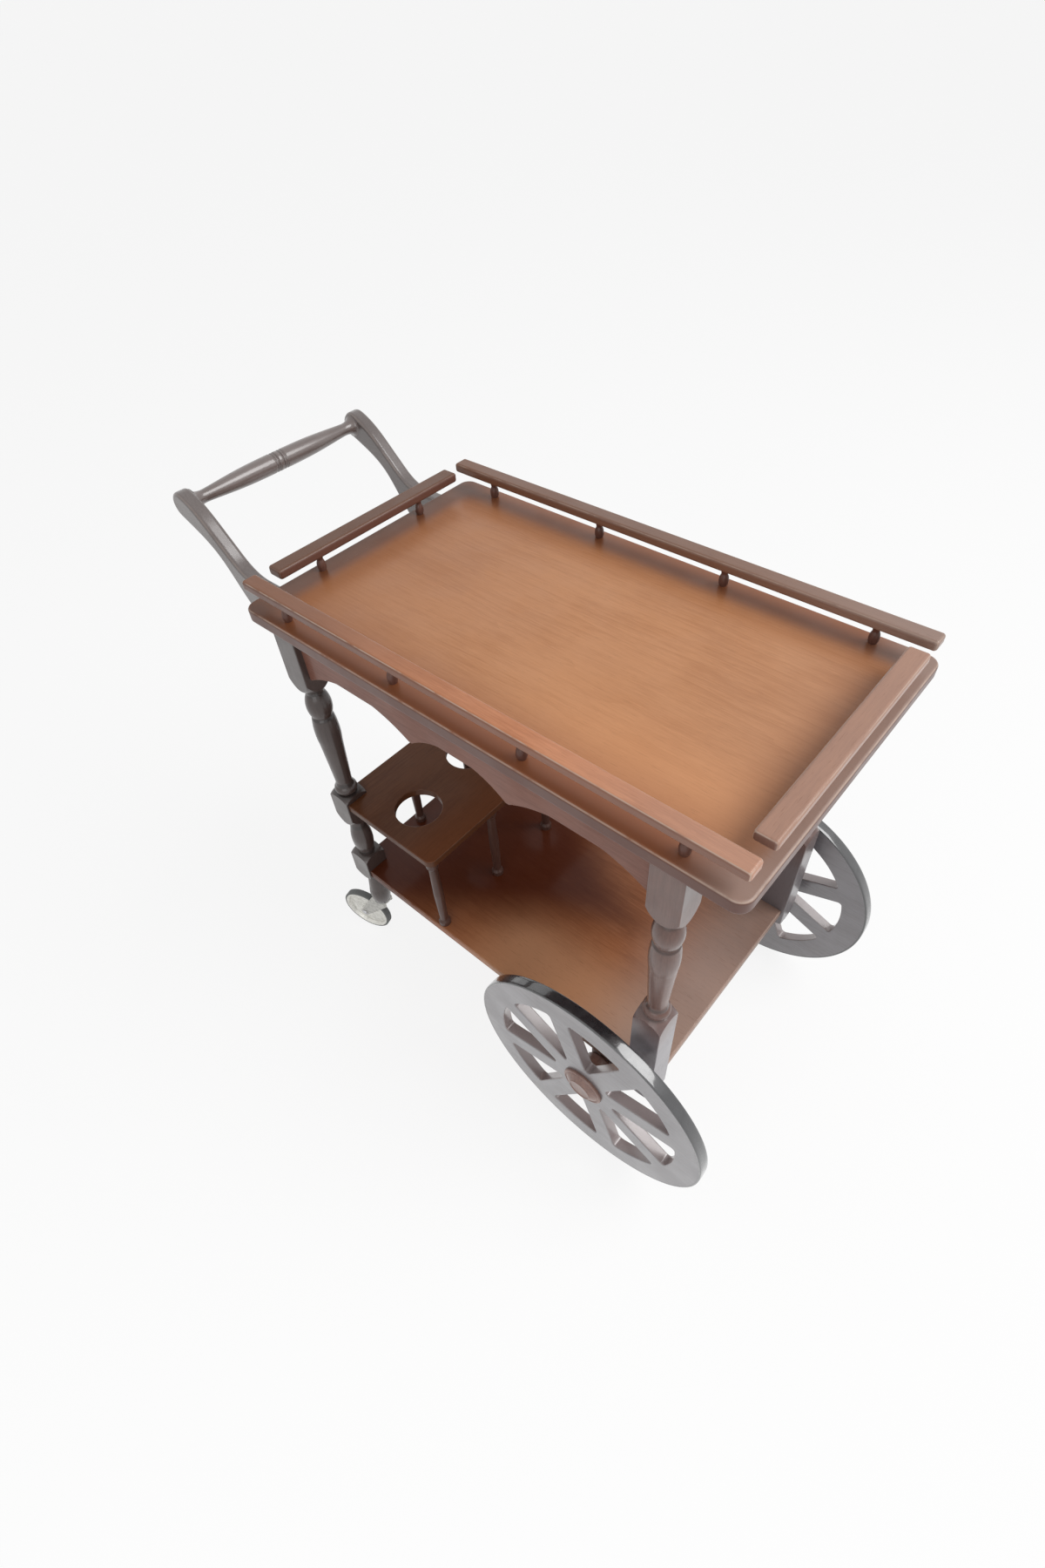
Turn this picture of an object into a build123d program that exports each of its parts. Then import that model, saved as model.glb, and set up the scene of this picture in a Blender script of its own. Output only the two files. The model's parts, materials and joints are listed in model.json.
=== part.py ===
from build123d import *
from build123d.topology import SkipClean
import math
import os

# Wooden serving cart: a railed top on four turned legs, a low shelf, a shelf with bottle holes,
# a push handle, two large spoked wheels and two swivel casters. Millimetres, Z up, floor at Z = 0.
# X runs from the push handle towards the large wheels, and left is +Y for the person who pushes.

# Top board
BOARD_LENGTH = 810.0
BOARD_WIDTH = 466.0
BOARD_THICK = 21.0
BOARD_TOP = 820.0
BOARD_CORNER = 18.0
BOARD_EDGE_ROUND = 4.0

# Gallery of rails on small spindles
RAIL_WIDTH = 25.0
RAIL_THICK = 15.0
RAIL_GAP = 26.0
RAIL_INSET = 7.5
RAIL_END_INSET = 6.5
RAIL_ROUND = 4.5
END_RAIL_WIDTH = 28.0
END_RAIL_INSET = 5.0
END_RAIL_CLEAR = 22.0
SPINDLE_COUNT = 4
SPINDLE_END = 75.4
END_SPINDLE_END = 77.5
SPINDLE_R = 7.0
SPINDLE_FOOT_R = 5.5
SPINDLE_NECK_R = 4.5
SPINDLE_HEAD_R = 6.0
SPINDLE_BELLY = 0.3
SPINDLE_NECK = 0.68
SPINDLE_TENON_R = 3.5
SPINDLE_TENON = 8.0

# Legs and the frame under the board
LEG_SIZE = 45.0
LEG_EDGE_ROUND = 1.5
LEG_INSET = 6.0
HANDLE_OVERHANG = 74.0
WHEEL_OVERHANG = 90.0
TOP_BLOCK = 77.0
NECK_R = 14.0
BULB_R = 20.5
VASE_R = 20.5
VASE_WAIST_R = 19.0
COVE_R = 16.0
COLLAR_R = 19.5
BEAD_STEP = 2.0
BEAD_HEIGHT = 4.0
SHOULDER = 36.0
SHOULDER_MID = 0.55
SHOULDER_SWELL = 0.62
FOOT_SHOULDER = 16.0
BLOCK_CROWN = 16.0
WHEEL_LEG_CROWN = 36.0
LEG_END_CUT = 10.0
CROWN_MID = 0.3
CROWN_SWELL = 0.66
BLOCK_ABOVE_BOTTLES = 12.0
MIDDLE_BLOCK = 46.0
BLOCK_ABOVE_SHELF = 36.0
WHEEL_LEG_BELOW_SHELF = 28.0
FOOT_R = 20.0
FOOT_ANKLE_R = 18.0
FOOT_EDGE_R = 17.0
FOOT_ABOVE_CASTER = 20.0

# Heights of the turned cuts, as shares of each turning from its lower end
UPPER_CUTS = (0.075, 0.115, 0.52, 0.643, 0.757, 0.868, 0.98)
LOWER_CUTS = (0.1, 0.38, 0.8)
FOOT_CUTS = (0.22, 0.45, 0.9)

# Aprons between the legs
APRON_HEIGHT = 76.0
APRON_THICK = 18.0
APRON_RECESS = 10.0
APRON_ROUND = 1.5
ARCH_RISE = 30.5
MIDDLE_ARCH_SHARE = 0.29
ARCH_TIP = 6.0
END_ARCH_FOOT = 42.0
END_ARCH_RISE = 26.0
TENON_LENGTH = 14.0
TENON_THICK = 8.0
TENON_HEIGHT = 44.0
TENON_DROP = 12.0
CORNER_BLOCK_LEG = 42.0
CORNER_BLOCK_HEIGHT = 30.0
CORNER_SCREW_X = 8.4
CORNER_SCREW_Y = 4.2

# Shelves
SHELF_ABOVE_AXLE = 20.5
SHELF_THICK = 18.0
SHELF_SIDE_INSET = 3.0
SHELF_END_INSET = 5.5
SHELF_EDGE_ROUND = 3.0
BOTTLE_ABOVE_SHELF = 192.0
BOTTLE_THICK = 14.0
BOTTLE_LENGTH = 234.0
BOTTLE_INSET = 13.5
BOTTLE_CORNER = 14.0
BOTTLE_EDGE_ROUND = 2.0
HOLE_R = 41.0
HOLE_ROUND = 1.5
HOLE_BACK = 104.0
HOLE_STAGGER = 26.0
HOLE_SIDE = 74.0
POST_R = 9.0
POST_FOOT_R = 10.5
POST_FOOT = 9.0
POST_NECK_R = 7.5
POST_NECK = 14.5
POST_TENON_R = 5.0
POST_TENON = 7.0
POST_INSET = 12.0
POST_COUNT = 4
DOWEL_R = 4.0
DOWEL_LENGTH = 30.0

# Push handle
ARM_THICK = 24.0
ARM_DEPTH = 29.0
ARM_ROUND = 6.0
ARM_FOOT_DEPTH = 72.0
ARM_TIP_R = 21.0
ARM_SLOPE = 43.0
ARM_TIP_TOP = 70.0
ARM_TIP_LOW = 245.0
ARM_BELOW_TOP = 9.0
ARM_FLAT = 0.2
ARM_UNDER = 0.05
ARM_WAIST_OUT = 0.63
ARM_WAIST_UP = 0.39
ARM_SCREW_DROPS = (0.3, 0.75)
GRIP_BACK = 195.0
GRIP_ABOVE = 69.0
GRIP_R = 14.0
GRIP_NECK_R = 9.5
GRIP_RING_R = 12.0
GRIP_RING_CREST_R = 13.5
GRIP_RING = 8.0
GRIP_BEAD = 4.0
GRIP_CUTS = (0.14, 0.34, 0.8)
GRIP_SWELL_R = 13.5
GRIP_TAPER_R = 10.5
GRIP_COLLAR = 9.0
GRIP_COLLAR_R = 12.5
GRIP_END_R = 10.0
GRIP_FLARE = 9.0
GRIP_FLARE_R = 14.5
GRIP_FLARE_BEND = (0.3, 0.6)
GRIP_TENON_R = 6.0
GRIP_TENON = 16.0

# Large wheels and their axle
WHEEL_R = 214.5
AXLE_BEHIND_LEG = 70.5
WHEEL_THICK = 19.0
TYRE_THICK = 3.5
TYRE_EDGE = 1.2
RIM_INNER_R = 169.0
SPOKES = 8
SPOKE_WIDTH = 36.0
CUT_ROUND = 6.0
CUT_EDGE_ROUND = 2.0
SPOKE_TURN_RIGHT = 16.5
SPOKE_TURN_LEFT = 22.5
HUB_LENGTH = 29.2
HUB_R = 30.0
HUB_NECK_R = 25.0
HUB_FOOT_R = 22.0
HUB_FOOT = 4.0
HUB_COVE = (0.4, 0.7)
HUB_CORE_R = 18.0
HUB_CORE_DEPTH = 10.0
CAP_R = 36.0
CAP_PROUD = 11.0
CAP_HOLLOW_R = 15.0
CAP_HOLLOW = 6.5
CAP_ROUND = 5.0
BUSH_R = 8.5
AXLE_R = 6.0
AXLE_PAST_NUT = 2.0
WASHER_R = 13.0
WASHER_THICK = 2.5
NUT_FLAT = 18.0
NUT_THICK = 8.0
BEAM_WIDTH = 44.0
BEAM_HEIGHT = 43.0
BEAM_INSET = 2.0
BEAM_SCREW_ASIDE = 12.0
BEAM_SCREW_OUT = 130.0

# Swivel casters
CASTER_R = 54.0
CASTER_TYRE = 4.0
CASTER_TYRE_EDGE = 1.6
CASTER_WIDTH = 14.0
CASTER_WEB = 4.0
CASTER_RIM = 6.0
CASTER_DRAFT = 2.0
CASTER_HUB_R = 10.0
CASTER_HUB_WIDTH = 17.0
CASTER_TRAIL = 52.0
CASTER_TURN = 15.0
CHEEK_THICK = 2.5
CHEEK_GAP = 9.5
CHEEK_BOSS_R = 9.0
CROWN_R = 17.0
CROWN_THICK = 4.0
CHEEK_FRONT = 14.0
CHEEK_BACK = 20.0
CHEEK_SKIRT = 14.0
STEM_R = 5.5
STEM_LENGTH = 42.0
STEM_CLEAR = 2.0
SLEEVE_WALL = 2.0
FLANGE_R = 16.5
FLANGE_THICK = 2.0
PIN_R = 4.0
PIN_HEAD_R = 6.0
PIN_HEAD = 2.5
PIN_BEVEL = 1.5

# Screws
SCREW_R = 2.0
SCREW_HEAD_R = 4.0
SCREW_HEAD = 2.5
SCREW_TIP_R = 0.2
SCREW_BITE = 12.0
ARM_SCREW_LENGTH = 45.0

# Fields marked off on the board and the low shelf, as far as dishes can stand
FIELD_MARGIN = 2.0
FIELD_DEPTH = 1.0

# Clearances
WOOD_FIT = 0.15
RUN_FIT = 0.05
REST_GAP = 0.3

# Derived places. X_MID brings the middle of the whole cart to X = 0.
LEG_SPAN = BOARD_LENGTH - HANDLE_OVERHANG - WHEEL_OVERHANG
FRAME_SHIFT = (HANDLE_OVERHANG - WHEEL_OVERHANG) / 2
HANDLE_REACH = BOARD_LENGTH / 2 + GRIP_BACK + ARM_TIP_R
AXLE_REACH = FRAME_SHIFT + LEG_SPAN / 2 - AXLE_BEHIND_LEG
X_MID = (HANDLE_REACH - AXLE_REACH - WHEEL_R) / 2
BOARD_BOTTOM = BOARD_TOP - BOARD_THICK
LEG_HANDLE_X = X_MID + FRAME_SHIFT - LEG_SPAN / 2
LEG_WHEEL_X = X_MID + FRAME_SHIFT + LEG_SPAN / 2
LEG_Y = BOARD_WIDTH / 2 - LEG_INSET - LEG_SIZE / 2
LEG_OUT_Y = LEG_Y + LEG_SIZE / 2
LEG_IN_Y = LEG_Y - LEG_SIZE / 2
BLANK_R = 0.75 * LEG_SIZE
SHELF_LOW = WHEEL_R + SHELF_ABOVE_AXLE
SHELF_TOP = SHELF_LOW + SHELF_THICK
BOTTLE_TOP = SHELF_TOP + BOTTLE_ABOVE_SHELF
BOTTLE_LOW = BOTTLE_TOP - BOTTLE_THICK
MIDDLE_TOP = BOTTLE_TOP + BLOCK_ABOVE_BOTTLES
MIDDLE_LOW = MIDDLE_TOP - MIDDLE_BLOCK
LOWER_TOP = SHELF_TOP + BLOCK_ABOVE_SHELF
FOOT_BOTTOM = 2 * CASTER_R + FOOT_ABOVE_CASTER
SIDE_APRON_Y = LEG_OUT_Y - APRON_RECESS - APRON_THICK / 2
HANDLE_APRON_X = LEG_HANDLE_X - LEG_SIZE / 2 + APRON_RECESS + APRON_THICK / 2
WHEEL_APRON_X = LEG_WHEEL_X + LEG_SIZE / 2 - APRON_RECESS - APRON_THICK / 2
SIDE_APRON_LENGTH = LEG_SPAN - LEG_SIZE
END_APRON_LENGTH = 2 * LEG_IN_Y
MIDDLE_ARCH = MIDDLE_ARCH_SHARE * SIDE_APRON_LENGTH
END_ARCH = END_APRON_LENGTH - 2 * END_ARCH_FOOT
TENON_Z = BOARD_BOTTOM - TENON_DROP - TENON_HEIGHT / 2
SHELF_HALF = LEG_OUT_Y - SHELF_SIDE_INSET
SHELF_HANDLE_X = LEG_HANDLE_X - LEG_SIZE / 2 + SHELF_END_INSET
SHELF_WHEEL_X = LEG_WHEEL_X + LEG_SIZE / 2 - SHELF_END_INSET
BOTTLE_HANDLE_X = LEG_HANDLE_X - LEG_SIZE / 2 + BOTTLE_INSET
BOTTLE_WHEEL_X = BOTTLE_HANDLE_X + BOTTLE_LENGTH
HOLE_SPACING = SHELF_HALF - HOLE_SIDE
POST_X = BOTTLE_WHEEL_X - POST_INSET
BACK_POST_X = BOTTLE_HANDLE_X + POST_INSET
POST_SPACING = 2 * (SHELF_HALF - POST_INSET) / (POST_COUNT - 1)
RAIL_Y = BOARD_WIDTH / 2 - RAIL_INSET - RAIL_WIDTH / 2
RAIL_Z = BOARD_TOP + RAIL_GAP
RAIL_LENGTH = BOARD_LENGTH - 2 * RAIL_END_INSET
END_RAIL_X = BOARD_LENGTH / 2 - END_RAIL_INSET - END_RAIL_WIDTH / 2
END_RAIL_LENGTH = 2 * (RAIL_Y - RAIL_WIDTH / 2 - END_RAIL_CLEAR)
SPINDLE_SPACING = (RAIL_LENGTH - 2 * SPINDLE_END) / (SPINDLE_COUNT - 1)
END_SPINDLE_Y = END_RAIL_LENGTH / 2 - END_SPINDLE_END
BOARD_BACK_X = X_MID - BOARD_LENGTH / 2
GRIP_X = BOARD_BACK_X - GRIP_BACK
GRIP_Z = BOARD_TOP + GRIP_ABOVE
ARM_INNER = LEG_IN_Y - ARM_THICK
ARM_Y = LEG_IN_Y - ARM_THICK / 2
AXLE_X = X_MID + AXLE_REACH
BEAM_HALF = SHELF_HALF - BEAM_INSET
HUB_IN = BEAM_HALF + WASHER_THICK + REST_GAP
DISC_IN = HUB_IN + HUB_LENGTH
WHEEL_FACE = DISC_IN + WHEEL_THICK
HUB_OUT = DISC_IN + HUB_CORE_DEPTH
NUT_IN = HUB_OUT + REST_GAP + WASHER_THICK
AXLE_HALF = NUT_IN + NUT_THICK + AXLE_PAST_NUT
DISC_R = WHEEL_R - TYRE_THICK
CROWN_TOP = FOOT_BOTTOM - FLANGE_THICK - REST_GAP
SLEEVE_R = STEM_R + RUN_FIT + SLEEVE_WALL
SLEEVE_TOP = CROWN_TOP + STEM_LENGTH + STEM_CLEAR


# Shape helpers

def lathe(start, *moves):
    """Solid turned about Z from start (radius, height): a pair is a straight cut to it, and four
    numbers are an arc through the first pair to the second."""
    here = start
    outline = [Line((0, start[1]), start)]
    for move in moves:
        if len(move) == 4:
            outline.append(ThreePointArc(here, move[:2], move[2:]))
            here = move[2:]
        else:
            outline.append(Line(here, move))
            here = move
    outline.append(Line(here, (0, here[1])))
    outline.append(Line((0, here[1]), (0, start[1])))
    return revolve(Plane.XZ * make_face(outline), axis=Axis.Z)


def ring(outer, inner, height):
    """Tube that stands on Z = 0."""
    return extrude(Circle(outer) - Circle(inner), amount=height)


def rod(radius, height):
    """Round bar that stands on Z = 0."""
    return extrude(Circle(radius), amount=height)


def plate(x_low, x_high, y_low, y_high, z_low, z_high):
    """Box between six faces."""
    centre = (x_low + x_high) / 2, (y_low + y_high) / 2, (z_low + z_high) / 2
    return Pos(*centre) * Box(x_high - x_low, y_high - y_low, z_high - z_low)


def outer_rims(solid, radius):
    """The circles of the given radius on a turned solid."""
    circles = solid.edges().filter_by(GeomType.CIRCLE)
    return circles.filter_by(lambda edge: math.isclose(edge.radius, radius))


def along_y(solid, side=1):
    """A solid that stands on Z, laid along +Y (side 1) or -Y (side -1)."""
    return Rot(-90 * side, 0, 0) * solid


def screw(length):
    """Countersunk wood screw whose head top is at Z = 0 and whose point is up."""
    shank = (SCREW_R, SCREW_HEAD), (SCREW_R, length - SCREW_R)
    return lathe((SCREW_HEAD_R, 0), *shank, (SCREW_TIP_R, length))


def with_field(board, x_low, x_high, y_half, top):
    """The board with the part of its top that stays clear marked off as a face of its own."""
    field = plate(x_low, x_high, -y_half, y_half, top - FIELD_DEPTH, top)
    with SkipClean():
        return board - field + field


def save(name, *solids):
    """Writes one node from its solids."""
    shape = solids[0] if len(solids) == 1 else Compound(children=list(solids))
    export_step(shape, f"parts/{name}.step")


# Gallery

def spindle_places():
    """Each rail's spindle feet, in plan."""
    places = {}
    first = X_MID - (SPINDLE_COUNT - 1) / 2 * SPINDLE_SPACING
    for name, y in (("left", RAIL_Y), ("right", -RAIL_Y)):
        places[name] = [(first + i * SPINDLE_SPACING, y) for i in range(SPINDLE_COUNT)]
    for name, x in (("handle_end", -END_RAIL_X), ("wheel_end", END_RAIL_X)):
        places[name] = [(X_MID + x, side * END_SPINDLE_Y) for side in (-1, 1)]
    return places


def spindle():
    """Turned baluster with a tenon at each end, foot on the board at Z = 0."""
    top = RAIL_GAP
    return lathe(
        (SPINDLE_TENON_R, -SPINDLE_TENON),
        (SPINDLE_TENON_R, 0),
        (SPINDLE_FOOT_R, 0),
        (SPINDLE_R, SPINDLE_BELLY * top, SPINDLE_NECK_R, SPINDLE_NECK * top),
        (SPINDLE_HEAD_R, top),
        (SPINDLE_TENON_R, top),
        (SPINDLE_TENON_R, top + SPINDLE_TENON),
    )


def tenon_holes(places, z_low):
    """Blind holes for spindle tenons, from z_low up."""
    bore = rod(SPINDLE_TENON_R + WOOD_FIT, SPINDLE_TENON + WOOD_FIT)
    return [Pos(x, y, z_low) * bore for x, y in places]


def rail(length_x, length_y, x, y, places):
    """Rounded rail over its spindles."""
    bar = Box(length_x, length_y, RAIL_THICK, align=(Align.CENTER, Align.CENTER, Align.MIN))
    bar = fillet(bar.edges(), RAIL_ROUND)
    bar = Pos(X_MID + x, y, RAIL_Z) * bar
    return bar - tenon_holes(places, RAIL_Z)


def top_board(places):
    """Board with rounded corners and edges, drilled for the spindles and the frame's screws."""
    plan = RectangleRounded(BOARD_LENGTH, BOARD_WIDTH, BOARD_CORNER)
    board = extrude(plan, amount=BOARD_THICK)
    rims = board.faces().sort_by(Axis.Z)[0].edges() + board.faces().sort_by(Axis.Z)[-1].edges()
    board = Pos(X_MID, 0, BOARD_BOTTOM) * fillet(rims, BOARD_EDGE_ROUND)
    feet = [place for row in places.values() for place in row]
    board -= tenon_holes(feet, BOARD_TOP - SPINDLE_TENON - WOOD_FIT)
    pilot = rod(SCREW_R + WOOD_FIT, SCREW_BITE + WOOD_FIT)
    board -= [Pos(x, y, BOARD_BOTTOM) * pilot for x, y in corner_screw_places()]
    reach = END_RAIL_X - END_RAIL_WIDTH / 2 - FIELD_MARGIN
    y_half = RAIL_Y - RAIL_WIDTH / 2 - FIELD_MARGIN
    return with_field(board, X_MID - reach, X_MID + reach, y_half, BOARD_TOP)


# Legs

def upper_turning(low, high):
    """Cuts between two blocks from below: collar, long tapered vase, bulb, neck and shoulder."""
    span = high - SHOULDER - low
    collar, taper, waist, vase, cove, bulb, neck = (low + share * span for share in UPPER_CUTS)
    return [
        (COLLAR_R, (low + collar) / 2, COVE_R, collar),
        (NECK_R, taper),
        (VASE_WAIST_R, waist),
        (VASE_R, vase, COVE_R + BEAD_STEP, cove),
        (COVE_R, cove + BEAD_HEIGHT),
        (BULB_R, bulb, NECK_R, neck),
        (NECK_R, high - SHOULDER),
        *block_shoulder(high, SHOULDER),
    ]


def lower_turning(low, high):
    """Cuts of the short vase between the middle and lower blocks, from below."""
    span = high - SHOULDER - low
    cove, belly, neck = (low + share * span for share in LOWER_CUTS)
    return [
        (COVE_R, cove),
        (COLLAR_R, belly, NECK_R + BEAD_STEP, neck),
        (NECK_R, high - SHOULDER),
        *block_shoulder(high, SHOULDER),
    ]


def foot_turning():
    """Cuts of the foot under the lower block, from the floor end up."""
    span = SHELF_LOW - FOOT_SHOULDER - FOOT_BOTTOM
    belly, ankle, neck = (FOOT_BOTTOM + share * span for share in FOOT_CUTS)
    return [
        (FOOT_R, belly, FOOT_ANKLE_R, ankle),
        (NECK_R, neck),
        (NECK_R, SHELF_LOW - FOOT_SHOULDER),
        *block_shoulder(SHELF_LOW, FOOT_SHOULDER),
    ]


def block_shoulder(low, length):
    """Rounded cut from the neck under a block out to the block's lower edge."""
    swell = NECK_R + SHOULDER_SWELL * (BLANK_R - NECK_R)
    return [(swell, low - SHOULDER_MID * length, BLANK_R, low)]


def crown_cut(top, height):
    """Cuts of a block's rounded upper end, up to the turning above it."""
    swell = COVE_R + CROWN_SWELL * (BLANK_R - COVE_R)
    return [(BLANK_R, top - height), (swell, top - CROWN_MID * height, COVE_R, top)]


def leg_blank(handle_end):
    """Turned leg about its own axis, square where its blocks are."""
    top = upper_turning(MIDDLE_TOP, BOARD_BOTTOM - TOP_BLOCK) + [(BLANK_R, BOARD_BOTTOM)]
    if handle_end:
        bottom = FOOT_BOTTOM
        cuts = foot_turning() + crown_cut(LOWER_TOP, BLOCK_CROWN) + lower_turning(LOWER_TOP, MIDDLE_LOW)
        turned = lathe((FOOT_EDGE_R, bottom), *cuts, *crown_cut(MIDDLE_TOP, BLOCK_CROWN), *top)
    else:
        bottom = SHELF_LOW - WHEEL_LEG_BELOW_SHELF
        end = (LEG_SIZE - LEG_END_CUT) / 2, bottom
        block = (BLANK_R, bottom + LEG_END_CUT), *crown_cut(MIDDLE_TOP, WHEEL_LEG_CROWN)
        turned = lathe(end, *block, *top)
    square = RectangleRounded(LEG_SIZE, LEG_SIZE, LEG_EDGE_ROUND)
    return turned & Pos(0, 0, bottom) * extrude(square, amount=BOARD_BOTTOM - bottom)


def leg(handle_end, side):
    """Leg in its place, with mortises for the aprons, dowel holes and a caster bore at the handle end."""
    x = LEG_HANDLE_X if handle_end else LEG_WHEEL_X
    inward = 1 if handle_end else -1
    body = Pos(x, side * LEG_Y, 0) * leg_blank(handle_end)
    half = TENON_THICK / 2 + WOOD_FIT
    depth = TENON_LENGTH + WOOD_FIT
    z_low, z_high = TENON_Z - TENON_HEIGHT / 2 - WOOD_FIT, TENON_Z + TENON_HEIGHT / 2 + WOOD_FIT
    x_face = x + inward * LEG_SIZE / 2
    x_pair = sorted((x_face, x_face - inward * depth))
    y_mid = side * SIDE_APRON_Y
    body -= plate(*x_pair, y_mid - half, y_mid + half, z_low, z_high)
    x_mid = HANDLE_APRON_X if handle_end else WHEEL_APRON_X
    y_pair = sorted((side * LEG_IN_Y, side * (LEG_IN_Y + depth)))
    body -= plate(x_mid - half, x_mid + half, *y_pair, z_low, z_high)
    drill = rod(DOWEL_R + WOOD_FIT, DOWEL_LENGTH / 2 + WOOD_FIT)
    for z in dowel_heights(handle_end):
        body -= Pos(x_face, side * LEG_Y, z) * (Rot(0, -90 * inward, 0) * drill)
    if handle_end:
        socket = rod(SLEEVE_R + WOOD_FIT, SLEEVE_TOP + WOOD_FIT - FOOT_BOTTOM)
        body -= Pos(x, side * LEG_Y, FOOT_BOTTOM) * socket
    return body


def dowel_heights(handle_end):
    """Heights of the dowels that hold the shelves to a leg."""
    heights = [SHELF_TOP - SHELF_THICK / 2]
    if handle_end:
        heights.append(BOTTLE_TOP - BOTTLE_THICK / 2)
    return heights


def dowel_places():
    """Each dowel's leg face, as (x, side, height)."""
    places = []
    for handle_end, x in ((True, LEG_HANDLE_X + LEG_SIZE / 2), (False, LEG_WHEEL_X - LEG_SIZE / 2)):
        for side in (-1, 1):
            places += [(x, side, z) for z in dowel_heights(handle_end)]
    return places


def dowel_holes(level):
    """Holes for the dowels in a shelf at the given height."""
    drill = Pos(0, 0, -DOWEL_LENGTH / 2 - WOOD_FIT) * rod(DOWEL_R + WOOD_FIT, DOWEL_LENGTH + 2 * WOOD_FIT)
    return [Pos(x, s * LEG_Y, z) * (Rot(0, 90, 0) * drill) for x, s, z in dowel_places() if z == level]


# Aprons and corner blocks

def apron(length, arches, rise):
    """Board on edge with arches cut in its lower edge, in the XZ plane with its top at Z = 0 and a
    tenon at each end. Each arch is (start, end) along its length."""
    half = length / 2
    low = -APRON_HEIGHT
    outline = [Line((-half, low), (-half, 0)), Line((-half, 0), (half, 0)), Line((half, 0), (half, low))]
    here = half
    for start, end in sorted(arches, reverse=True):
        outline.append(Line((here, low), (end, low)))
        outline.append(ThreePointArc((end, low), ((start + end) / 2, low + rise), (start, low)))
        here = start
    outline.append(Line((here, low), (-half, low)))
    board = extrude(Plane.XZ * make_face(outline), amount=APRON_THICK / 2, both=True)
    arrises = board.edges().filter_by(Axis.Y, reverse=True).filter_by(lambda e: e.center().Z < low + rise + 1)
    board = fillet(arrises, APRON_ROUND)
    tongue = Box(length + 2 * TENON_LENGTH, TENON_THICK, TENON_HEIGHT)
    return board + Pos(0, 0, TENON_Z - BOARD_BOTTOM) * tongue


def side_apron(side):
    """Long apron with three arches."""
    half, mid, tip = SIDE_APRON_LENGTH / 2, MIDDLE_ARCH / 2, ARCH_TIP / 2
    arches = [(-half + tip, -mid - tip), (-mid + tip, mid - tip), (mid + tip, half - tip)]
    place = Pos(X_MID + FRAME_SHIFT, side * SIDE_APRON_Y, BOARD_BOTTOM)
    return place * apron(SIDE_APRON_LENGTH, arches, ARCH_RISE)


def end_apron(x):
    """Short apron with one arch."""
    board = apron(END_APRON_LENGTH, [(-END_ARCH / 2, END_ARCH / 2)], END_ARCH_RISE)
    return Pos(x, 0, BOARD_BOTTOM) * (Rot(0, 0, 90) * board)


def corner_block(handle_end, side):
    """Glue block that fills the corner behind a leg, drilled for its screw."""
    inward = 1 if handle_end else -1
    x_leg = (LEG_HANDLE_X if handle_end else LEG_WHEEL_X) + inward * LEG_SIZE / 2
    x_apron = (HANDLE_APRON_X if handle_end else WHEEL_APRON_X) + inward * APRON_THICK / 2
    y_leg, y_apron = LEG_IN_Y, SIDE_APRON_Y - APRON_THICK / 2
    corners = [
        (x_apron, y_leg - CORNER_BLOCK_LEG),
        (x_apron, y_leg),
        (x_leg, y_leg),
        (x_leg, y_apron),
        (x_leg + inward * CORNER_BLOCK_LEG, y_apron),
    ]
    plan = make_face(Polyline(*[(x, side * y) for x, y in corners], close=True))
    top_down = Pos(0, 0, BOARD_BOTTOM - CORNER_BLOCK_HEIGHT) * plan
    block = extrude(top_down, amount=CORNER_BLOCK_HEIGHT, dir=(0, 0, 1))
    x, y = corner_screw_place(handle_end, side)
    return block - Pos(x, y, BOARD_BOTTOM - CORNER_BLOCK_HEIGHT) * screw_hole(CORNER_BLOCK_HEIGHT)


def screw_hole(depth):
    """Clearance hole with a countersink, from Z = 0 up."""
    wide = SCREW_HEAD_R + WOOD_FIT
    narrow = SCREW_R + WOOD_FIT
    return lathe((wide, 0), (wide, WOOD_FIT), (narrow, SCREW_HEAD + WOOD_FIT), (narrow, depth))


def corner_screw_place(handle_end, side):
    """Plan place of the screw through a corner block."""
    inward = 1 if handle_end else -1
    x_leg = (LEG_HANDLE_X if handle_end else LEG_WHEEL_X) + inward * LEG_SIZE / 2
    return x_leg + inward * CORNER_SCREW_X, side * (LEG_IN_Y - CORNER_SCREW_Y)


def corner_screw_places():
    """Plan places of the four screws that hold the board down."""
    return [corner_screw_place(handle_end, side) for handle_end in (True, False) for side in (-1, 1)]


# Shelves

def leg_notches(z_low, z_high):
    """Square notches where the legs pass a shelf."""
    half = LEG_SIZE / 2 + WOOD_FIT
    spots = [(x, side * LEG_Y) for x in (LEG_HANDLE_X, LEG_WHEEL_X) for side in (-1, 1)]
    return [plate(x - half, x + half, y - half, y + half, z_low, z_high) for x, y in spots]


def post_places():
    """Plan places of the posts: a row under the bottle shelf's free edge, and the inner ones of that
    row again under its back edge, where the legs take the place of the outer ones."""
    row = [(i - (POST_COUNT - 1) / 2) * POST_SPACING for i in range(POST_COUNT)]
    return [(POST_X, y) for y in row] + [(BACK_POST_X, y) for y in row[1:-1]]


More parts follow.
